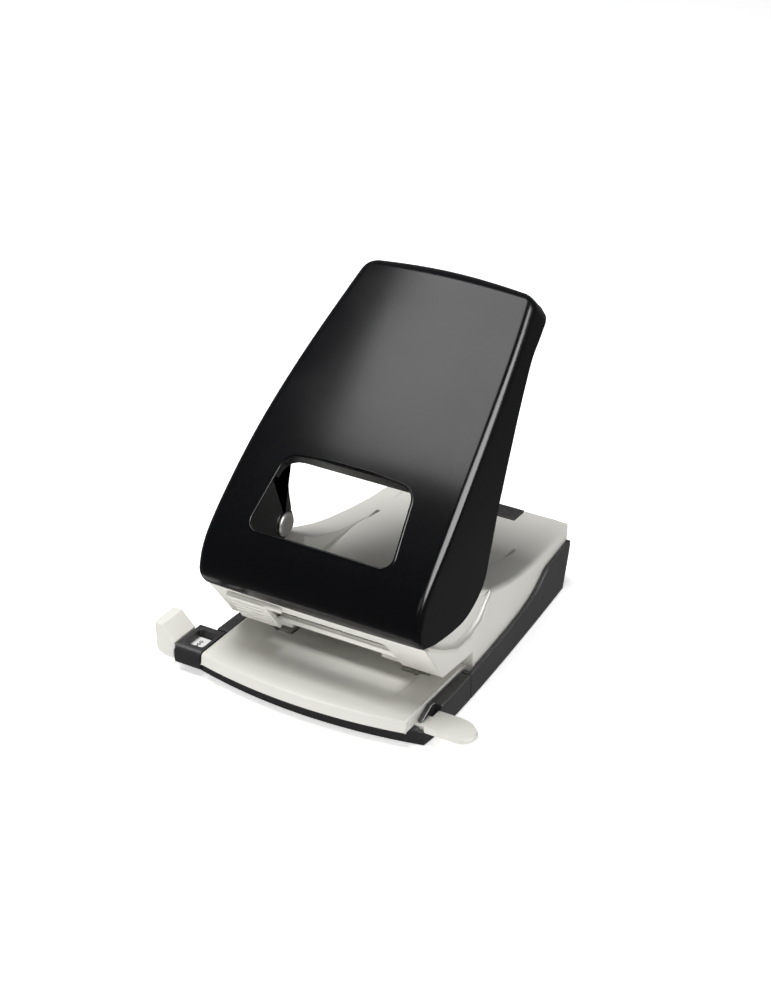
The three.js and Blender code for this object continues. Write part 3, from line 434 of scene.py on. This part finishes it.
def machining():
    """Grinding or drawing lines along one direction, and broad tarnish."""
    group, given, out = effect("Machining lines", [("Scale", 900.0)], ["Height", "Tarnish"])
    place = put(group, "ShaderNodeTexCoord")
    drawn = put(group, "ShaderNodeMapping", {"Vector": place.outputs["Object"], "Scale": (0.03, 1.0, 1.0)})
    line = put(group, "ShaderNodeTexNoise", {"Vector": drawn.outputs[0], "Scale": given.outputs["Scale"],
                                             "Detail": 4.0})
    tint = put(group, "ShaderNodeTexNoise", {"Vector": place.outputs["Object"], "Scale": 60.0, "Detail": 5.0})
    tarnish = put(group, "ShaderNodeMapRange", {"Value": tint.outputs["Fac"], "From Min": 0.4,
                                                "From Max": 0.8})
    group.links.new(line.outputs["Fac"], out.inputs["Height"])
    group.links.new(tarnish.outputs[0], out.inputs["Tarnish"])
    return group


EFFECTS = {}


def place_effect(tree, build, **values):
    """Adds one of the shared effects to a material, building it the first time."""
    if build.__name__ not in EFFECTS:
        EFFECTS[build.__name__] = build()
    made = tree.nodes.new("ShaderNodeGroup")
    made.node_tree = EFFECTS[build.__name__]
    for key, value in values.items():
        made.inputs[key.replace("_", " ")].default_value = value
    return made


def blank(name, **sockets):
    """A material with a Principled shader whose plain numbers are set on its own sockets."""
    material = bpy.data.materials.new(name)
    material.use_nodes = True
    shader = material.node_tree.nodes["Principled BSDF"]
    for key, value in sockets.items():
        shader.inputs[key.replace("_", " ")].default_value = value
    return material, material.node_tree, shader


def two_tone(tree, shader, mask, first, second):
    """Base colour that goes from first to second with a mask."""
    mix = put(tree, "ShaderNodeMix", {0: mask}, data_type="RGBA")
    mix.inputs[6].default_value = (*first, 1.0)
    mix.inputs[7].default_value = (*second, 1.0)
    tree.links.new(mix.outputs[2], shader.inputs["Base Color"])
    return mix


def vary(tree, socket, mask, low, high):
    """Drives a socket from low to high with a mask."""
    ramp = put(tree, "ShaderNodeMapRange", {"Value": mask, "To Min": low, "To Max": high})
    tree.links.new(ramp.outputs[0], socket)


def bump(tree, shader, height, distance, strength=1.0):
    made = put(tree, "ShaderNodeBump", {"Height": height, "Distance": distance, "Strength": strength})
    tree.links.new(made.outputs[0], shader.inputs["Normal"])


def toned(shade, factor):
    return tuple(min(1.0, channel * factor) for channel in shade)


def gloss_black(shade):
    material, tree, shader = blank("Gloss black", Roughness=0.2, Specular_IOR_Level=0.16)
    marks = place_effect(tree, handling_marks)
    dust = place_effect(tree, settled_dust, Amount=0.02)
    two_tone(tree, shader, dust.outputs["Dust"], shade, (0.2, 0.2, 0.2))
    vary(tree, shader.inputs["Roughness"], marks.outputs["Smears"], 0.17, 0.23)
    ripple = put(tree, "ShaderNodeTexNoise", {"Scale": 420.0, "Detail": 1.0})
    bump(tree, shader, ripple.outputs["Fac"], 0.0000012)
    return material


def warm_grey(shade):
    material, tree, shader = blank("Warm grey shell", Roughness=0.42, Specular_IOR_Level=0.4)
    grain = place_effect(tree, moulded_grain, Scale=2600.0)
    dust = place_effect(tree, settled_dust, Amount=0.06)
    two_tone(tree, shader, grain.outputs["Patches"], toned(shade, 0.985), toned(shade, 1.01))
    vary(tree, shader.inputs["Roughness"], grain.outputs["Patches"], 0.4, 0.47)
    both = put(tree, "ShaderNodeMath", {0: grain.outputs["Height"], 1: dust.outputs["Dust"]}, operation="ADD")
    bump(tree, shader, both.outputs[0], 0.000012)
    return material


def satin_black(shade):
    material, tree, shader = blank("Satin black", Roughness=0.42, Specular_IOR_Level=0.5)
    grain = place_effect(tree, moulded_grain, Scale=1900.0)
    dust = place_effect(tree, settled_dust, Amount=0.1)
    two_tone(tree, shader, dust.outputs["Dust"], shade, (0.3, 0.3, 0.29))
    vary(tree, shader.inputs["Roughness"], grain.outputs["Patches"], 0.38, 0.48)
    bump(tree, shader, grain.outputs["Height"], 0.00002)
    return material


def enamel(shade):
    material, tree, shader = blank("Black enamel", Roughness=0.25, Specular_IOR_Level=0.4)
    marks = place_effect(tree, handling_marks)
    two_tone(tree, shader, marks.outputs["Lines"], shade, toned(shade, 6))
    vary(tree, shader.inputs["Roughness"], marks.outputs["Smears"], 0.2, 0.34)
    peel = put(tree, "ShaderNodeTexNoise", {"Scale": 350.0, "Detail": 2.0})
    bump(tree, shader, peel.outputs["Fac"], 0.00002)
    return material


def bright_steel(name, shade, scale, rough):
    material, tree, shader = blank(name, Metallic=1.0)
    lines = place_effect(tree, machining, Scale=scale)
    two_tone(tree, shader, lines.outputs["Tarnish"], shade, toned(shade, 0.72))
    vary(tree, shader.inputs["Roughness"], lines.outputs["Tarnish"], rough, rough + 0.14)
    bump(tree, shader, lines.outputs["Height"], 0.000015)
    return material


def rubber_black():
    material, tree, shader = blank("Pad rubber", Roughness=0.85, Specular_IOR_Level=0.25)
    grain = place_effect(tree, moulded_grain, Scale=1200.0)
    two_tone(tree, shader, grain.outputs["Patches"], (0.016, 0.016, 0.016), (0.028, 0.027, 0.026))
    bump(tree, shader, grain.outputs["Height"], 0.00005)
    return material


def natural_nylon():
    material, tree, shader = blank("Natural nylon", Roughness=0.5, Specular_IOR_Level=0.4)
    grain = place_effect(tree, moulded_grain, Scale=1500.0)
    two_tone(tree, shader, grain.outputs["Patches"], (0.78, 0.76, 0.69), (0.84, 0.82, 0.76))
    bump(tree, shader, grain.outputs["Height"], 0.00001)
    return material


def label_white():
    material, tree, shader = blank("Label strip", Roughness=0.55, Specular_IOR_Level=0.3)
    grain = place_effect(tree, moulded_grain, Scale=1500.0)
    two_tone(tree, shader, grain.outputs["Patches"], (0.72, 0.72, 0.71), (0.78, 0.78, 0.77))
    bump(tree, shader, grain.outputs["Height"], 0.000008)
    return material


def print_ink():
    material, tree, shader = blank("Printing ink", Roughness=0.6, Specular_IOR_Level=0.3)
    grain = place_effect(tree, moulded_grain, Scale=3000.0)
    two_tone(tree, shader, grain.outputs["Patches"], (0.02, 0.02, 0.022), (0.05, 0.05, 0.052))
    return material


def floor_white(shade):
    material, tree, shader = blank("Floor", Roughness=0.9, Specular_IOR_Level=0.1, Emission_Strength=0.55,
                                   Emission_Color=(1.0, 1.0, 1.0, 1.0))
    grain = place_effect(tree, moulded_grain, Scale=300.0)
    two_tone(tree, shader, grain.outputs["Patches"], toned(shade, 0.995), shade)
    return material


MATERIALS = {}


def material(name):
    """Builds all finishes on first use and returns the one asked for."""
    if not MATERIALS:
        shades = bpy.context.scene.punch_colours
        MATERIALS.update({
            "gloss_cover": gloss_black(shades.gloss),
            "light_grey_plastic": warm_grey(shades.shell),
            "black_plastic": satin_black(shades.base),
            "black_steel": enamel(shades.enamel),
            "bright_steel": bright_steel("Ground steel", shades.steel, 1100.0, 0.24),
            "stud_steel": bright_steel("Turned steel", toned(shades.steel, 0.8), 500.0, 0.38),
            "spring_steel": bright_steel("Spring steel", toned(shades.steel, 0.55), 1500.0, 0.3),
            "rubber": rubber_black(),
            "nylon": natural_nylon(),
            "printed_label": label_white(),
        })
    return MATERIALS[name]


# ---- lever cover ----------------------------------------------------------------------------------
# Side view of the cover, as (rearward, upward) millimetres from the lever hinge.
FACE_LINE = [(-8.7, -2.3), (-14, 4.3), (-15.9, 10), (-14.8, 16.4), (-10.8, 24), (-5, 30.9), (7.8, 43),
             (35.3, 66.7), (66.5, 89.9), (100.5, 113.2), (119.2, 126.3)]
CHEEK_LINE = [(131.5, 113.3), (119, 105.7), (107.5, 98.1), (90.6, 80.7), (76.1, 61.6), (64.9, 43.1),
              (59.5, 30.2), (55.2, 18.4), (50.7, 6.6), (42.9, -0.7), (31.1, -5.7), (16.4, -5.9), (1.9, -4.2)]
TOP_CENTRE = Vector((123.8, 119.7))
TOP_RADIUS = 8
TOP_LAST = Vector((133.6, 119.1))
ALONG = Vector((0.819, 0.574))
CORNER_RADIUS = 11
COVER_HALF = 62.7
NARROWING = 0.0015
WIDE_TO = 27.5
FOOT_FADE = 16
FACE_ROWS = 110
CHEEK_SAMPLES = 400
CHEEK_PACE = 1.12  # cheek points lie a little closer together near the top
WINDOW_FOOT = Vector((-2.9, 31.3))
WINDOW_UP = Vector((0.753, 0.658))
WINDOW_OUT = Vector((-0.658, 0.753))
WINDOW = [(-41.4, 0, 6.5), (41.4, 0, 6.5), (36.4, 42.4, 9), (12, 44.4, 0), (-12, 44.4, 0), (-36.4, 42.4, 9)]


def cover_half(point):
    """Half width of the cover at a point of its side view."""
    rise = max(0.0, point.y - WIDE_TO)
    half = COVER_HALF - NARROWING * rise * rise
    top_end = TOP_CENTRE.dot(ALONG) + TOP_RADIUS
    short = CORNER_RADIUS - min(CORNER_RADIUS, max(0.0, top_end - point.dot(ALONG)))
    return half - CORNER_RADIUS + math.sqrt(CORNER_RADIUS ** 2 - short ** 2)


def from_hinge(x, side_view):
    return Vector((x * MM, HINGE.y + side_view.x * MM, HINGE.z + side_view.y * MM))


def on_window(x, up, out):
    return from_hinge(x, WINDOW_FOOT + WINDOW_UP * up + WINDOW_OUT * out)


def ease(t):
    t = min(1.0, max(0.0, t))
    return t * t * (3 - 2 * t)


def cover_skin():
    """Outer surface of the cover: rows run across it, from the foot to the top end."""
    sizes = bpy.context.scene.punch_sizes
    fillet, crown = sizes.cover_fillet / MM, sizes.cover_crown / MM
    face = spline([Vector(p) for p in FACE_LINE], FACE_ROWS)
    arc = [TOP_CENTRE + TOP_RADIUS * Vector((math.cos(math.radians(a)), math.sin(math.radians(a))))
           for a in range(118, 28, -7)]
    skin = face + arc + [TOP_LAST]
    count = len(skin)
    long_edge = spline([Vector(p) for p in CHEEK_LINE], CHEEK_SAMPLES)
    edge = [long_edge[round((CHEEK_SAMPLES - 1) * (i / (count - 1)) ** CHEEK_PACE)] for i in range(count)]
    cheek_steps, arc_steps, face_steps = 12, 8, 40
    points = []
    for i, here in enumerate(skin):
        a, b = skin[max(0, i - 1)], skin[min(count - 1, i + 1)]
        inward = Vector((b.y - a.y, a.x - b.x)).normalized()
        fade = 0.2 + 0.8 * ease((here.y - skin[0].y) / FOOT_FADE)
        room = 0.5 * min((other - here).length for other in edge)
        row = []
        for k in range(-face_steps // 2, face_steps // 2 + 1):
            row.append((2 * k / face_steps, 0.0))
        rounds = [math.radians(90 * (k + 1) / arc_steps) for k in range(arc_steps)]
        row = [(-1, turn) for turn in reversed(rounds)] + row + [(1, turn) for turn in rounds]
        made = []
        for v, turn in row:
            drawn = min((crown * v * v + fillet * (1 - math.cos(turn))) * fade, room)
            at = here + inward * drawn
            across = (cover_half(at) - fillet) * v + math.copysign(fillet * math.sin(turn), v)
            made.append((across, at))
        lower = edge[count - 1 - i]
        cheek = []
        for k in range(1, cheek_steps + 1):
            at = made[-1][1].lerp(lower, k / cheek_steps)
            cheek.append((cover_half(at), at))
        full = [(-x, at) for x, at in reversed(cheek)] + made + cheek
        points.extend(from_hinge(x, at) for x, at in full)
    wide = 2 * cheek_steps + 2 * arc_steps + face_steps + 1
    faces = [(r * wide + c, r * wide + c + 1, (r + 1) * wide + c + 1, (r + 1) * wide + c)
             for r in range(count - 1) for c in range(wide - 1)]
    return mesh_object("lever_cover_moulding", points, faces)


class PUNCH_OT_lever_cover(bpy.types.Operator):
    """Build the gloss cover with its finger window and the bead round it"""
    bl_idname = "punch.lever_cover"
    bl_label = "Lever cover"

    def execute(self, context):
        sizes = context.scene.punch_sizes
        cover = cover_skin()
        bm = bmesh.new()
        bm.from_mesh(cover.data)
        face = min(bm.faces, key=lambda f: (f.calc_center_median() - on_window(0, 60, 0)).length)
        if face.normal.dot(on_window(0, 60, 10) - on_window(0, 60, 0)) < 0:
            bmesh.ops.reverse_faces(bm, faces=bm.faces)
        bm.normal_update()
        tree = BVHTree.FromBMesh(bm)
        bm.to_mesh(cover.data)
        bm.free()
        outline = rounded_outline(WINDOW, 12)
        rim = []
        out = (on_window(0, 0, 1) - on_window(0, 0, 0)).normalized()
        for point in evenly([Vector((p.x, p.y, 0)) for p in outline], 260, closed=True):
            hit = tree.ray_cast(on_window(point.x, point.y, 20), -out)[0]
            rim.append(hit - out * sizes.rim_radius * 0.55)
        modify(cover, "SOLIDIFY", thickness=sizes.cover_wall, offset=-1, use_even_offset=True)
        count = len(outline)
        tool = mesh_object("window_tool", [on_window(p.x, p.y, out) for out in (-12, 14) for p in outline],
                           [tuple(range(count)), tuple(reversed(range(count, 2 * count)))]
                           + [(i, i + count, (i + 1) % count + count, (i + 1) % count) for i in range(count)])
        outward(tool)
        modify(cover, "BOOLEAN", operation="DIFFERENCE", object=tool, solver="EXACT")
        bpy.data.objects.remove(tool)
        shaded(cover)
        fit(cover, "lever", "gloss_cover", material("gloss_cover"), "handle_cover")
        bead = smooth(tube("window_bead", rim, sizes.rim_radius, 14), 60)
        fit(bead, "lever", "gloss_cover", material("gloss_cover"))
        return {"FINISHED"}


# ---- paper table ----------------------------------------------------------------------------------
class PUNCH_OT_paper_table(bpy.types.Operator):
    """Build the paper table with its bowed front, shallow dish and side rims"""
    bl_idname = "punch.paper_table"
    bl_label = "Paper table"

    def execute(self, context):
        fit(table_top(), "base", "light_grey_plastic", material("light_grey_plastic"), "paper_table")
        return {"FINISHED"}


TABLE_EDGE_BACK = 1.7  # the front face leans back by this much up to the top edge
TABLE_WALL = 2.2
RIM_RADIUS = 1.0


def table_top():
    low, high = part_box("paper_table")
    depth = bpy.context.scene.punch_sizes.dish_depth
    half, top = high.x, low.z + 5.8 * MM
    bulge = 6.5 * MM
    columns = [-half + 2 * half * c / 118 for c in range(119)]
    front = [(0.0, low.z), (0.15, low.z + 0.3 * MM), (0.8, top - 0.9 * MM), (1.05, top - 0.4 * MM),
             (1.4, top - 0.12 * MM), (TABLE_EDGE_BACK, top)]
    rear_rows = 80
    points = []
    rows = len(front) + rear_rows
    for r in range(rows):
        for x in columns:
            bow = low.y + bulge * (x / half) ** 2
            if r < len(front):
                points.append(Vector((x, bow + front[r][0] * MM, front[r][1])))
                continue
            t = (r - len(front) + 1) / rear_rows
            start = bow + TABLE_EDGE_BACK * MM
            y = start + (high.y - start) * t
            points.append(Vector((x, y, top + table_height(x, y, depth, high.y))))
    wide = len(columns)
    faces = [(r * wide + c, r * wide + c + 1, (r + 1) * wide + c + 1, (r + 1) * wide + c)
             for r in range(rows - 1) for c in range(wide - 1)
             if not over_die((points[r * wide + c] + points[(r + 1) * wide + c + 1]) / 2)]
    table = mesh_object("paper_table_moulding", points, faces)
    add_skirts(table, rows, wide, low.z)
    modify(table, "SOLIDIFY", thickness=TABLE_WALL * MM, offset=-1, use_even_offset=False)
    modify(table, "BEVEL", width=0.25 * MM, segments=2, limit_method="ANGLE", angle_limit=math.radians(50),
           use_clamp_overlap=False)
    return shaded(table, 40)


def over_die(point):
    """Whether a point of the table lies over one of the dies, where the table is open."""
    room = 0.3 * MM
    return any(low.x - room < point.x < high.x + room and low.y - room < point.y < high.y + room
               for low, high in (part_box("die_" + side) for side in SIDES))


def add_skirts(table, rows, wide, foot):
    """Side walls from the rims down to the table's foot."""
    bm = bmesh.new()
    bm.from_mesh(table.data)
    bm.verts.ensure_lookup_table()
    sides = [[bm.verts[r * wide + column] for r in range(rows)] for column in (0, wide - 1)]
    for upper in sides:
        lower = [bm.verts.new((v.co.x, v.co.y, foot)) for v in upper[1:]]
        lower = [upper[0]] + lower
        for a, b, c, d in zip(upper, upper[1:], lower[1:], lower):
            corner = [a, b, c] if a is d else [a, b, c, d]
            bm.faces.new(corner)
    bmesh.ops.recalc_face_normals(bm, faces=bm.faces)
    face = max(bm.faces, key=lambda f: f.calc_area() * abs(f.normal.z))
    if face.normal.z < 0:
        bmesh.ops.reverse_faces(bm, faces=bm.faces)
    bm.to_mesh(table.data)
    bm.free()


def table_height(x, y, depth, rear):
    """Height of the table's surface over its flat: a dish that deepens to the rear, and side rims."""
    half_dish = (43 - 12 * ease((y + 51 * MM) / (48 * MM))) * MM
    start = -80 * MM
    down = depth * min(1.0, max(0.0, (y - start) / (54 * MM)))
    wall = ease((half_dish - abs(x)) / (2.4 * MM) + 0.5)
    rise = -down * wall
    rim_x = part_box("paper_table")[1].x - RIM_RADIUS * MM
    off = abs(abs(x) - rim_x) / (RIM_RADIUS * MM)
    if off < 1.0 and y < rear - 4 * MM:
        rise += 0.8 * RIM_RADIUS * MM * math.sqrt(1 - off * off) * ease((y - (-85 + 1) * MM) / (2 * MM))
    return rise


# ---- carried-over shells and fittings --------------------------------------------------------------
class PUNCH_OT_shells(bpy.types.Operator):
    """Refine the moulded shells and the small moulded fittings"""
    bl_idname = "punch.shells"
    bl_label = "Shells and fittings"

    def execute(self, context):
        sizes = context.scene.punch_sizes
        finish_node("body_shell", sizes.thin_edge, "light_grey_plastic", material("light_grey_plastic"),
                    soft=(sizes.arm_edge, arm_edge))
        for node, edge in (("guide_bar", sizes.small_edge),
                           ("end_stop", sizes.small_edge), ("release_key", sizes.key_edge),
                           ("lock_slider", sizes.small_edge)):
            finish_node(node, edge, "light_grey_plastic", material("light_grey_plastic"))
        for node, edge in (("front_base", sizes.shell_edge), ("chip_tray", sizes.shell_edge),
                           ("rear_tab", sizes.small_edge), ("guide_holder", sizes.thin_edge)):
            finish_node(node, edge, "black_plastic", material("black_plastic"))
        for side in SIDES:
            for node in ("front_pad_", "tray_pad_"):
                finish_node(node + side, sizes.small_edge, "rubber", material("rubber"))
            finish_node("axle_spacer_" + side, sizes.metal_edge, "nylon", material("nylon"))
        return {"FINISHED"}


class PUNCH_OT_steel(bpy.types.Operator):
    """Refine the steel lever, frame, axle, bars, punches, dies and fasteners"""
    bl_idname = "punch.steel"
    bl_label = "Steel parts"

    def execute(self, context):
        sizes = context.scene.punch_sizes
        finish_node("lever_frame", sizes.small_edge, "black_steel", material("black_steel"))
        plain = ["punch_frame", "hinge_axle", "press_bar"]
        plain += [f"{kind}_{i}" for kind in ("frame_screw", "cover_screw") for i in (1, 2, 3, 4)]
        plain += [f"{kind}_{side}" for kind in ("base_screw", "tray_hinge_pin", "die", "punch_guide", "punch")
                  for side in SIDES]
        for node in plain:
            finish_node(node, sizes.metal_edge, "bright_steel", material("bright_steel"))
        for node in ("guide_detent", "axle_clip_left", "axle_clip_right"):
            finish_node(node, 0, "spring_steel", material("spring_steel"))
        return {"FINISHED"}


class PUNCH_OT_studs(bpy.types.Operator):
    """Turn the two rivet studs that join the cover to the steel lever"""
    bl_idname = "punch.studs"
    bl_label = "Lever studs"

    def execute(self, context):
        for side in SIDES:
            node = "lever_stud_" + side
            low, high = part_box(node)
            centre = (low + high) / 2
            sign = 1 if centre.x > 0 else -1
            inner = abs(low.x if sign > 0 else high.x)
            radius = (high.y - low.y) / 2
            head = [(0, 0.25), (radius * 0.55 / MM, 0.1), (radius * 0.8 / MM, 0.15),
                    (radius / MM - 0.6, 0.45),
                    (radius / MM - 0.15, 0.8), (radius / MM, 1.2), (radius / MM, 1.7), (3, 1.7), (3, 4.3),
                    (5, 4.3), (5, 5.2), (4.6, 5.4), (0, 5.4)]
            profile = [(r * MM, along * MM) for r, along in head]
            stud = spun("stud_" + side, profile, Vector((sign * inner, centre.y, centre.z)), (sign, 0, 0))
            fit(stud, "lever", "stud_steel", material("stud_steel"), node)
        return {"FINISHED"}


class PUNCH_OT_springs(bpy.types.Operator):
    """Wind the two punch springs at one fixed length; the real ones shorten as the lever goes down"""
    bl_idname = "punch.springs"
    bl_label = "Punch springs"

    def execute(self, context):
        for side in SIDES:
            node = "punch_spring_" + side
            low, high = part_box(node)
            centre = (low + high) / 2
            wire = 0.5 * MM
            coil = (high.x - low.x) / 2 - wire
            turns, steps = 6.5, 26
            count = int(turns * steps)
            path = []
            for i in range(count + 1):
                t = i / steps
                share = min(1.0, max(0.0, (t - 0.8) / (turns - 1.6)))
                z = low.z + wire + (high.z - low.z - 2 * wire) * share
                turn = 2 * math.pi * t
                path.append(Vector((centre.x + coil * math.cos(turn), centre.y + coil * math.sin(turn), z)))
            spring = smooth(tube("spring_" + side, path, wire, 10, closed=False), 60)
            fit(spring, "base", "spring_steel", material("spring_steel"), node)
            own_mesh(spring)
        return {"FINISHED"}


class PUNCH_OT_label(bpy.types.Operator):
    """Build the guide's printed strip with plain ring marks"""
    bl_idname = "punch.label"
    bl_label = "Format label"

    def execute(self, context):
        finish_node("format_label", 0, "printed_label", material("printed_label"))
        low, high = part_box("format_label")
        ink = print_ink()
        middle = (low.y + high.y) / 2
        marks, faces = [], []
        for step in range(5):
            for row in (-1, 0, 1):
                centre = Vector((low.x + (5.3 + 12 * step) * MM, middle + row * 2.3 * MM, high.z + 0.02 * MM))
                ring(marks, faces, centre, 1.05 * MM, 0.5 * MM)
        printed = mesh_object("label_marks", marks, faces)
        fit(printed, "guide", "printed_label", ink)
        return {"FINISHED"}


def ring(points, faces, centre, outer, inner, steps=24):
    """Adds a flat ring, printed a hair over the strip."""
    start = len(points)
    for k in range(steps):
        turn = 2 * math.pi * k / steps
        for radius in (inner, outer):
            points.append(centre + Vector((math.cos(turn), math.sin(turn), 0)) * radius)
    for k in range(steps):
        a, b = start + 2 * k, start + 2 * ((k + 1) % steps)
        faces.append((a, a + 1, b + 1, b))


# ---- stage ----------------------------------------------------------------------------------------
def area_light(name, place, target, width, depth, power):
    light = bpy.data.lights.new(name, "AREA")
    light.shape = "RECTANGLE"
    light.size, light.size_y = width, depth
    light.energy = power
    made = new_object(name, light)
    made.location = place
    made.rotation_euler = (Vector(target) - Vector(place)).to_track_quat("-Z", "Y").to_euler()
    return made


class PUNCH_OT_stage(bpy.types.Operator):
    """Set the floor, the lights and the camera"""
    bl_idname = "punch.stage"
    bl_label = "Stage"

    def execute(self, context):
        stage = context.scene.punch_stage
        floor = mesh_object("floor", [(-4, -4, -0.0003), (4, -4, -0.0003), (4, 4, -0.0003), (-4, 4, -0.0003)],
                            [(0, 1, 2, 3)])
        floor.data.materials.append(floor_white(context.scene.punch_colours.floor))
        floor.visible_glossy = False  # dark sides show no reflection of the white floor
        middle = (cad_low + cad_high) / 2
        over = Vector((-0.27, -0.1, 1.18))
        area_light("overhead", over, over - Vector((0, 0, 1)), 0.8, 0.62, stage.key_power)
        area_light("front", Vector((0.85, -1.1, 0.8)), middle, 0.7, 0.5, stage.fill_power)
        handle = Vector((0.05, -0.04, 0.11))
        strip = area_light("right_strip", handle + Vector((0.86, 0.0, 0.58)), handle, 0.8, 0.9,
                           stage.strip_power)
        strip.visible_diffuse = False  # it only draws the highlight along the cover's edge
        world = bpy.data.worlds.new("Studio")
        world.use_nodes = True
        background = world.node_tree.nodes["Background"]
        background.inputs["Color"].default_value = (1.0, 1.0, 1.0, 1.0)
        background.inputs["Strength"].default_value = 0.2
        context.scene.view_settings.view_transform = "Standard"
        context.scene.world = world
        camera = new_object("camera", bpy.data.cameras.new("camera"))
        camera.data.lens = stage.lens
        camera.data.clip_start, camera.data.clip_end = 0.01, 20.0
        camera.location = stage.eye
        level = math.cos(stage.elevation)
        looking = Vector((-math.sin(stage.azimuth) * level, math.cos(stage.azimuth) * level,
                          -math.sin(stage.elevation)))
        camera.rotation_euler = looking.to_track_quat("-Z", "Y").to_euler()
        context.scene.camera = camera
        return {"FINISHED"}


class PUNCH_PT_panel(bpy.types.Panel):
    """Lists the punch's pieces in the sidebar"""
    bl_idname = "PUNCH_PT_panel"
    bl_label = "Hole punch"
    bl_space_type = "VIEW_3D"
    bl_region_type = "UI"
    bl_category = "Hole punch"

    def draw(self, context):
        for settings in (context.scene.punch_sizes, context.scene.punch_colours, context.scene.punch_stage):
            box = self.layout.box()
            for name in settings.bl_rna.properties.keys():
                if name not in ("rna_type", "name"):
                    box.prop(settings, name)
        for operator in OPERATORS:
            self.layout.operator(operator.bl_idname)


OPERATORS = (PUNCH_OT_stage, PUNCH_OT_lever_cover, PUNCH_OT_paper_table, PUNCH_OT_shells, PUNCH_OT_steel,
             PUNCH_OT_studs, PUNCH_OT_springs, PUNCH_OT_label)
GROUPS = (("punch_sizes", PunchSizes), ("punch_colours", PunchColours), ("punch_stage", PunchStage))


def register():
    for name, group in GROUPS:
        bpy.utils.register_class(group)
        setattr(bpy.types.Scene, name, bpy.props.PointerProperty(type=group))
    for made in (*OPERATORS, PUNCH_PT_panel):
        bpy.utils.register_class(made)


def unregister():
    for made in (PUNCH_PT_panel, *reversed(OPERATORS)):
        bpy.utils.unregister_class(made)
    for name, group in reversed(GROUPS):
        delattr(bpy.types.Scene, name)
        bpy.utils.unregister_class(group)


def main():
    register()
    for operator in OPERATORS:
        category, name = operator.bl_idname.split(".")
        getattr(getattr(bpy.ops, category), name)()


if __name__ == "__main__":
    main()
